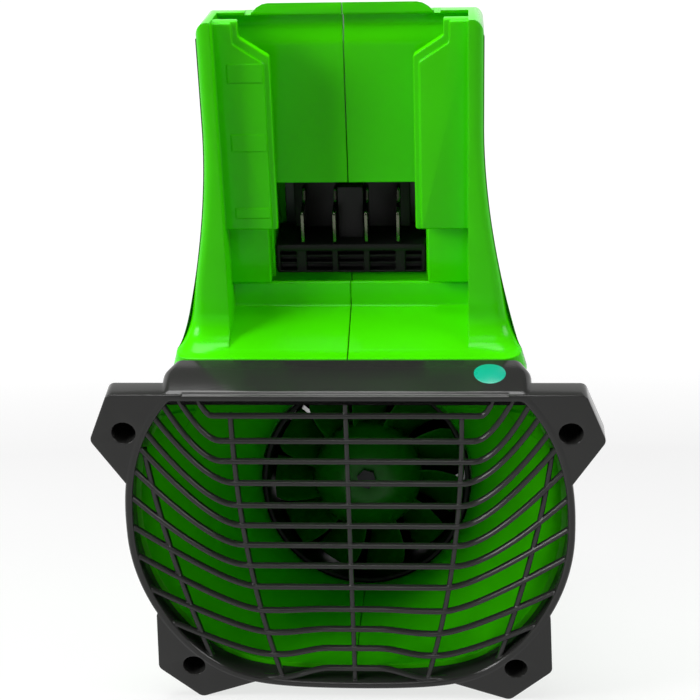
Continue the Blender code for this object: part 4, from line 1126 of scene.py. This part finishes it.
def circle_tree():
    """Copies of a piece evenly round the duct's axis."""
    tree, start, end = new_tree("copies round the axis", [
        ("Piece", "NodeSocketObject", None), ("Count", "NodeSocketInt", 11),
        ("Material", "NodeSocketMaterial", None)])
    piece = node(tree, "GeometryNodeObjectInfo")
    line = node(tree, "GeometryNodeMeshLine", Offset=(0, 0, 0))
    index = node(tree, "GeometryNodeInputIndex")
    step = node(tree, "ShaderNodeMath", operation="DIVIDE")
    step.inputs[0].default_value = 2 * math.pi
    angle = node(tree, "ShaderNodeMath", operation="MULTIPLY")
    about = node(tree, "ShaderNodeCombineXYZ")
    turn = node(tree, "FunctionNodeEulerToRotation")
    copies = node(tree, "GeometryNodeInstanceOnPoints")
    wire(tree, (start.outputs["Piece"], piece.inputs["Object"]),
         (start.outputs["Count"], line.inputs["Count"]),
         (start.outputs["Count"], step.inputs[1]),
         (index.outputs["Index"], angle.inputs[0]), (step.outputs[0], angle.inputs[1]),
         (angle.outputs[0], about.inputs["Y"]), (about.outputs["Vector"], turn.inputs["Euler"]),
         (line.outputs["Mesh"], copies.inputs["Points"]),
         (piece.outputs["Geometry"], copies.inputs["Instance"]),
         (turn.outputs["Rotation"], copies.inputs["Rotation"]))
    finish_tree(tree, start, copies.outputs["Instances"], end)
    return tree


on_points, round_axis = copies_tree(), circle_tree()


def set_out(name, piece, places, material, turn=(0, 0, 0)):
    """Copies of a piece at the given places. The first one is used up."""
    mesh = bpy.data.meshes.new(name)
    mesh.from_pydata([tuple(p) for p in places], [], [])
    made = grow(name, on_points, {"Piece": piece, "Turn": turn, "Material": material}, mesh)
    bpy.data.objects.remove(piece)
    return made


def set_round(name, piece, count, material):
    """Copies of a piece round the duct's axis. The first one is used up."""
    made = grow(name, round_axis, {"Piece": piece, "Count": count, "Material": material})
    bpy.data.objects.remove(piece)
    return made


print("trees:", on_points.name, "and", round_axis.name)

# %% [markdown]
# The terminal block is a black bar with five windows, each crossed by two thin slats, and an
# upright plate behind it. Four contact blades and two signal pins stand between the windows,
# where the battery's plug slides over them.

# %% Terminal block, blades and pins
BLOCK_LOW, BLOCK_TOP = 0.0642, 0.0738
WINDOW_LOW, WINDOW_HIGH, WINDOW_DEPTH = 0.0647, 0.0717, 0.0030
WIDE, NARROW = 0.0041, 0.0026
WINDOWS = ((-0.0198, NARROW), (-0.0100, WIDE), (0.0, WIDE), (0.0100, WIDE), (0.0198, NARROW))
SLAT_HALF, SLAT_HEIGHTS = 0.00035, (0.0670, 0.0695)
PLATE_HALF, PLATE_THICK, PLUG_HALF, PLUG_TOP = 0.0185, 0.0030, 0.0040, 0.0910
BLADE_HALF, BLADES_X, BLADE_NEAR, BLADE_FAR = 0.0005, (-0.015, -0.005, 0.005, 0.015), 0.0503, 0.0632
PIN_R, PINS_X, PIN_Z = 0.0008, (-0.010, 0.010), 0.0915
block_back, blade_low = BLOCK_FRONT + BLOCK_DEPTH, BLOCK_TOP + GAP


def slab(half, y_low, y_high, z_low, z_high, radius=0.0008, middle=0.0, place=REAR):
    """A block with rounded corners, seen from behind the machine."""
    corners = [(x, z, radius) for x, z in box_outline(middle - half, middle + half, z_low, z_high)]
    return plate(rounded(corners), y_low, y_high, "Y", place)


block = slab(BLOCK_HALF, BLOCK_FRONT, block_back, BLOCK_LOW, BLOCK_TOP)
weld(block,
     slab(PLATE_HALF, block_back - PLATE_THICK, block_back - 0.0001, BLOCK_TOP - 0.002, PLATE_TOP),
     slab(PLUG_HALF, 0.0555, block_back - 0.0020, BLOCK_TOP - 0.002, PLUG_TOP))
for middle, half in WINDOWS:
    carve(block, slab(half, BLOCK_FRONT - 0.001, BLOCK_FRONT + WINDOW_DEPTH,
                      WINDOW_LOW, WINDOW_HIGH, 0.0003, middle))
soften(block, 0.0004, 40, 2)
slats = []
for size in (WIDE, NARROW):
    slat = slab(size + 0.0002, 0.0, WINDOW_DEPTH - 0.0009, -SLAT_HALF, SLAT_HALF, 0.0002,
                place=None)
    places = [REAR @ Vector((x, BLOCK_FRONT + 0.0010, z))
              for x, half in WINDOWS if half == size for z in SLAT_HEIGHTS]
    slats.append(set_out("slats", slat, places, black, (LEAN, 0, 0)))
block = gather("terminal_block", [block, *slats])
dress(block, "terminal_block_dressed", black, "machine", ["terminal_block"])

blade_side = rounded([
    (BLADE_NEAR, blade_low, 0), (BLADE_FAR, blade_low, 0), (BLADE_FAR, 0.0885, 0.0008),
    (0.0600, 0.0885, 0.0012), (0.0585, 0.0845, 0.0012), (BLADE_NEAR, 0.0845, 0.0012)], 5)
blade = soften(plate(blade_side, -BLADE_HALF, BLADE_HALF, "X"), 0.00015, 40, 2)
pin = soften(rod(PIN_R, (0, 0.0592, PIN_Z), (0, BLADE_FAR, PIN_Z), steps=24), 0.00025, 40, 3)
contacts = gather("contacts", [
    set_out(name, piece, [REAR @ Vector((x, 0, 0)) for x in places], contact, (LEAN, 0, 0))
    for name, piece, places in (("blades", blade, BLADES_X), ("pins", pin, PINS_X))])
names = [f"contact_blade_{k}" for k in range(1, 5)] + ["signal_pin_1", "signal_pin_2"]
dress(contacts, "contacts_dressed", contact, "machine", names)

# %% [markdown]
# The fan has a domed hub and eleven twisted blades. A blade is an aerofoil at every radius,
# steep near the hub and flatter at the tip, so it is a loft of thin profiles that are wrapped
# round the axis. One blade is drawn, and the tree spaces the eleven.

# %% Fan
FAN_Y, FAN_LENGTH, HUB_R, HUB_NOSE, TIP_R = 0.1020, 0.0240, 0.0200, 0.0100, 0.0349
FAN_BLADES, BLADE_CHORD, BLADE_SKIN = 11, 0.0205, 0.0018
PITCH_ROOT, PITCH_TIP, BLADE_SWEEP = math.radians(55), math.radians(36), 0.0040
NOSE_SCREW_R, BOLT_R, HUB_WALL, CUP_DEPTH = 0.0042, 0.0025, 0.0030, 0.0100


def fan_blade():
    """One blade: aerofoil profiles wrapped round the axis, from the hub to the tip."""
    rings = []
    for level in range(13):
        t = level / 12
        r, pitch = mix(HUB_R - 0.0012, TIP_R, t), mix(PITCH_ROOT, PITCH_TIP, t)
        chord = BLADE_CHORD * mix(0.85, 1.0, t) * (1 - 0.12 * max(0.0, t - 0.85) / 0.15)
        along = Vector((math.cos(pitch), math.sin(pitch)))
        across = Vector((-along.y, along.x))
        ring = []
        for a in arc(24, 2 * math.pi)[:-1]:
            lift = 0.0014 * math.sin(a) ** 2 + BLADE_SKIN / 2 * math.sin(a)
            point = along * (-chord / 2 * math.cos(a)) + across * lift
            around, y = (point.x + BLADE_SWEEP * t * t) / r, FAN_Y + FAN_LENGTH * 0.58 + point.y
            ring.append((r * math.sin(around), y, r * math.cos(around)))
        rings.append(ring)
    return loft(rings, None, "blade")


dome = [(HUB_R * math.sin(a), FAN_Y + HUB_NOSE * (1 - math.cos(a))) for a in arc(16)[4:]]
seat_y, fan_back = FAN_Y + 0.0012, FAN_Y + FAN_LENGTH
hub = turned([(BOLT_R + 0.0001, seat_y), (NOSE_SCREW_R, seat_y), *dome, (HUB_R, fan_back),
              (HUB_R - HUB_WALL, fan_back), (HUB_R - HUB_WALL, fan_back - CUP_DEPTH),
              (BOLT_R + 0.004, fan_back - CUP_DEPTH), (BOLT_R + 0.004, fan_back),
              (BOLT_R + 0.0001, fan_back)])
# The fan's green is darkened as painted shade, since the fan sits deep in the duct.
fan = gather("fan", [hub, set_round("fan blades", fan_blade(), FAN_BLADES, fan_green_painted_shade)])
fan.data.transform(DUCT)
dress(fan, "fan_dressed", fan_green_painted_shade, "fan", ["impeller"], 40)

# %% [markdown]
# A dark sleeve lines the duct round the fan and runs on to the stator. Its seven vanes hold
# the cup in which the motor sits, and they straighten the swirl that the fan leaves behind.

# %% Sleeve and stator
SLEEVE_IN, SLEEVE_OUT, SLEEVE_START, SLEEVE_END = 0.0359, BORE_R - GAP, 0.0985, 0.1540
CUP_IN, CUP_OUT, STATOR_START = 0.0178, 0.0196, 0.1380
sleeve = turned(rounded([(SLEEVE_IN, SLEEVE_START, 0.0006), (SLEEVE_OUT, SLEEVE_START, 0.0003),
                         (SLEEVE_OUT, SLEEVE_END, 0.0003), (SLEEVE_IN, SLEEVE_END, 0.0006)], 4))
cup = turned(rounded([(r, y, 0.0006) for r, y in box_outline(
    CUP_IN, CUP_OUT, STATOR_START, SLEEVE_END)], 3))
VANES, VANE_TURN = 7, 0.0260
vane_rings = []
for level in range(5):
    r = mix(CUP_OUT - 0.0009, SLEEVE_IN + 0.0009, level / 4)
    ring = []
    for a in arc(32, 2 * math.pi)[:-1]:
        along = (1 - math.cos(a)) / 2
        around = (VANE_TURN * (1 - along) ** 1.6 + 0.0009 * math.sin(a)) / r
        y = mix(STATOR_START + 0.001, SLEEVE_END - 0.001, along)
        ring.append((r * math.sin(around), y, r * math.cos(around)))
    vane_rings.append(ring)
vanes = set_round("vanes", loft(vane_rings, None, "vane"), VANES, black)
stator = gather("stator", [sleeve, cup, vanes])
stator.data.transform(DUCT)
dress(stator, "stator_dressed", black, "machine", ["stator_ring"], 40)

# %% [markdown]
# The tube is turned: a spigot that slides into the duct, a collar that meets it, a long taper
# and a bead at the tip. Shallow grooves ring the collar so that a hand can grip and turn it.
# The lock button drops through a hole in the duct into the spigot.

# %% Blow tube and its lock button
TUBE_START = DUCT_END + GAP
SPIGOT_R, COLLAR_R, TIP_BORE, TUBE_WALL = 0.0377, 0.0415, 0.0290, 0.0022
collar_end, tube_end = TUBE_START + 0.0120, TUBE_START + 0.2600
tip_r = TIP_BORE + TUBE_WALL
bead_r, spigot_bore = tip_r + 0.0012, SPIGOT_R - TUBE_WALL
collar = [(SPIGOT_R, SPIGOT_Y, 0.0004), (SPIGOT_R, TUBE_START - 0.0001, 0),
          (COLLAR_R, TUBE_START, 0.0004)]
for k in range(4):
    y, floor_r = TUBE_START + 0.0024 + 0.0022 * k, COLLAR_R - 0.0006
    collar += [(COLLAR_R, y, 0.0002), (floor_r, y + 0.0004, 0.0002),
               (floor_r, y + 0.0008, 0.0002), (COLLAR_R, y + 0.0012, 0.0002)]
tube = turned(rounded(collar + [
    (COLLAR_R, collar_end, 0.0012), (COLLAR_R - 0.0025, collar_end + 0.004, 0.003),
    (tip_r, tube_end - 0.012, 0.002), (bead_r, tube_end - 0.010, 0.0006),
    (bead_r, tube_end, 0.0009), (TIP_BORE, tube_end, 0.0009), (TIP_BORE, tube_end - 0.012, 0.004),
    (spigot_bore, collar_end, 0.006), (spigot_bore, SPIGOT_Y, 0.0005)], 4), DUCT)
carve(tube, rod(BUTTON_R + HOLE_PLAY, (0, BUTTON_Y, BORE_R - 0.008),
                (0, BUTTON_Y, BORE_R + 0.004), DUCT, 48))
dress(tube, "blow_tube_dressed", grey, "machine", ["blow_tube"], 35)

low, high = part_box("tube_lock_button")
upright = DUCT @ Matrix.Translation((0, BUTTON_Y, 0)) @ Matrix.Rotation(math.radians(90), 4, "X")
head_r, foot_z, head_top = 0.0070, low.z - DUCT.translation.z, high.z - DUCT.translation.z
head_low = head_top - 0.0025
button = turned(rounded([
    (0, foot_z, 0), (BUTTON_R, foot_z, 0.0005), (BUTTON_R, head_low, 0),
    (head_r, head_low, 0.0003), (head_r, head_top, 0.0009), (0.0050, head_top, 0.0006),
    (0.0040, head_top - 0.0006, 0.0006), (0, head_top - 0.0006, 0)], 4), upright, 64)
dress(button, "tube_lock_button_dressed", black, "button", ["tube_lock_button"])

# %% [markdown]
# The trigger hangs on a pin inside the grip, where the fingers close on it, and a round lever
# on the left sets the speed with the thumb. Both are flat outlines with generous rounding.

# %% Trigger and speed lever
PIVOT_R, TAB_HALF, TAB_REACH, LEVER_THICK = 0.0018, 0.0030, 0.0080, 0.0050
y, z = TRIGGER_Y, TRIGGER_Z
trigger_side = rounded([
    (y + 0.005, z + 0.005, 0.003), (y + 0.005, z - 0.006, 0.003),
    (y - 0.006, grip_low - 0.0108, 0.006), (y - 0.018, grip_low - 0.0072, 0.012),
    (y - 0.032, grip_low - 0.0132, 0.003), (y - 0.033, grip_low - 0.0072, 0.003),
    (y - 0.029, z + 0.002, 0.003)], 8)
trigger = soften(plate(trigger_side, -TRIGGER_HALF, TRIGGER_HALF, "X", DUCT), 0.0018, 40, 5)
carve(trigger, rod(PIVOT_R, (-0.02, y, z), (0.02, y, z), DUCT))
dress(trigger, "trigger_dressed", black, "trigger", ["trigger"])

y, z = LEVER_PLACE
face = -HANDLE_HALF - GAP
lever = rod(LEVER_R, (face, y, z), (face - LEVER_THICK, y, z), DUCT, 96)
tab = rounded([(y - TAB_HALF, z, 0), (y + TAB_HALF, z, 0),
               (y + TAB_HALF, z + LEVER_R + TAB_REACH, 0.002),
               (y - TAB_HALF, z + LEVER_R + TAB_REACH, 0.002)], 6)
weld(lever, plate(tab, face - 0.0047, face - 0.0007, "X", DUCT))
soften(lever, 0.0008, 40, 4)
weld(lever, rod(STUB_R, (face - 0.001, y, z), (STUB_END, y, z), DUCT, 64))
dress(lever, "speed_lever_dressed", black, "lever", ["speed_lever"])

# %% [markdown]
# Ten screws hold the machine together, four through the grille's ears and six from the right
# side. One is turned with a slightly domed head and gets its cross recess, and the tree puts
# copies at every seat.

# %% Screws
EAR_SCREW, SIDE_SCREW = 0.0090, 0.0160
RECESS_LONG, RECESS_SHORT, RECESS_DEPTH = 0.0019, 0.0004, 0.0013


def screw_piece(length):
    """A pan-head screw along +Y whose head rests on y = 0."""
    made = turned([(0, length), (SCREW_R * 0.6, length), (SCREW_R, length - 0.0012),
                   (SCREW_R, 0), (HEAD_R, 0), (HEAD_R, -HEAD_HIGH * 0.55),
                   (HEAD_R * 0.9, -HEAD_HIGH * 0.85), (HEAD_R * 0.6, -HEAD_HIGH),
                   (0, -HEAD_HIGH)], steps=40, name="screw")
    for x, z in ((RECESS_SHORT, RECESS_LONG), (RECESS_LONG, RECESS_SHORT)):
        carve(made, plate(box_outline(-x, x, -z, z), -HEAD_HIGH - 0.001,
                          -HEAD_HIGH + RECESS_DEPTH, "Y"))
    return made


ear_seats = [REAR @ Vector((x, EAR_SEAT, z)) for x, z in ear_holes]
screws = gather("screws", [
    set_out("grille screws", screw_piece(EAR_SCREW), ear_seats, steel, (LEAN, 0, 0)),
    set_out("side screws", screw_piece(SIDE_SCREW), shell_screws, steel,
            (0, 0, math.radians(90)))])
names = [f"grille_screw_{k}" for k in range(1, 5)] + [f"housing_screw_{k}" for k in range(1, 7)]
dress(screws, "screws_dressed", steel, "machine", names)

# %% [markdown]
# A small round label of teal film lies on the right of the hood. It is blank here. Its rings
# follow the hood's curve, a tenth of a millimetre above it.

# %% Label
LABEL_X, LABEL_Y, LABEL_R = 0.0434, 0.0102, 0.0048
label_rings = []
for radius, lift in ((LABEL_R, -0.00005), (LABEL_R, 0.00008), (LABEL_R - 0.0001, 0.00012)):
    outline = [(LABEL_X + radius * math.cos(a), LABEL_Y + radius * math.sin(a)) for a in spokes(64)]
    label_rings.append([(x, y, hood_top(y) + lift) for x, y in outline])
label = loft(label_rings, REAR, "label")
dress(label, "hood_label", teal, "machine")

# %% [markdown]
# The last cell prints the size of the dressed machine's box.

# %% Sizes and the end
low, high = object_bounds()
print("size:", [round((high[i] - low[i]) * 1000, 1) for i in range(3)], "mm")
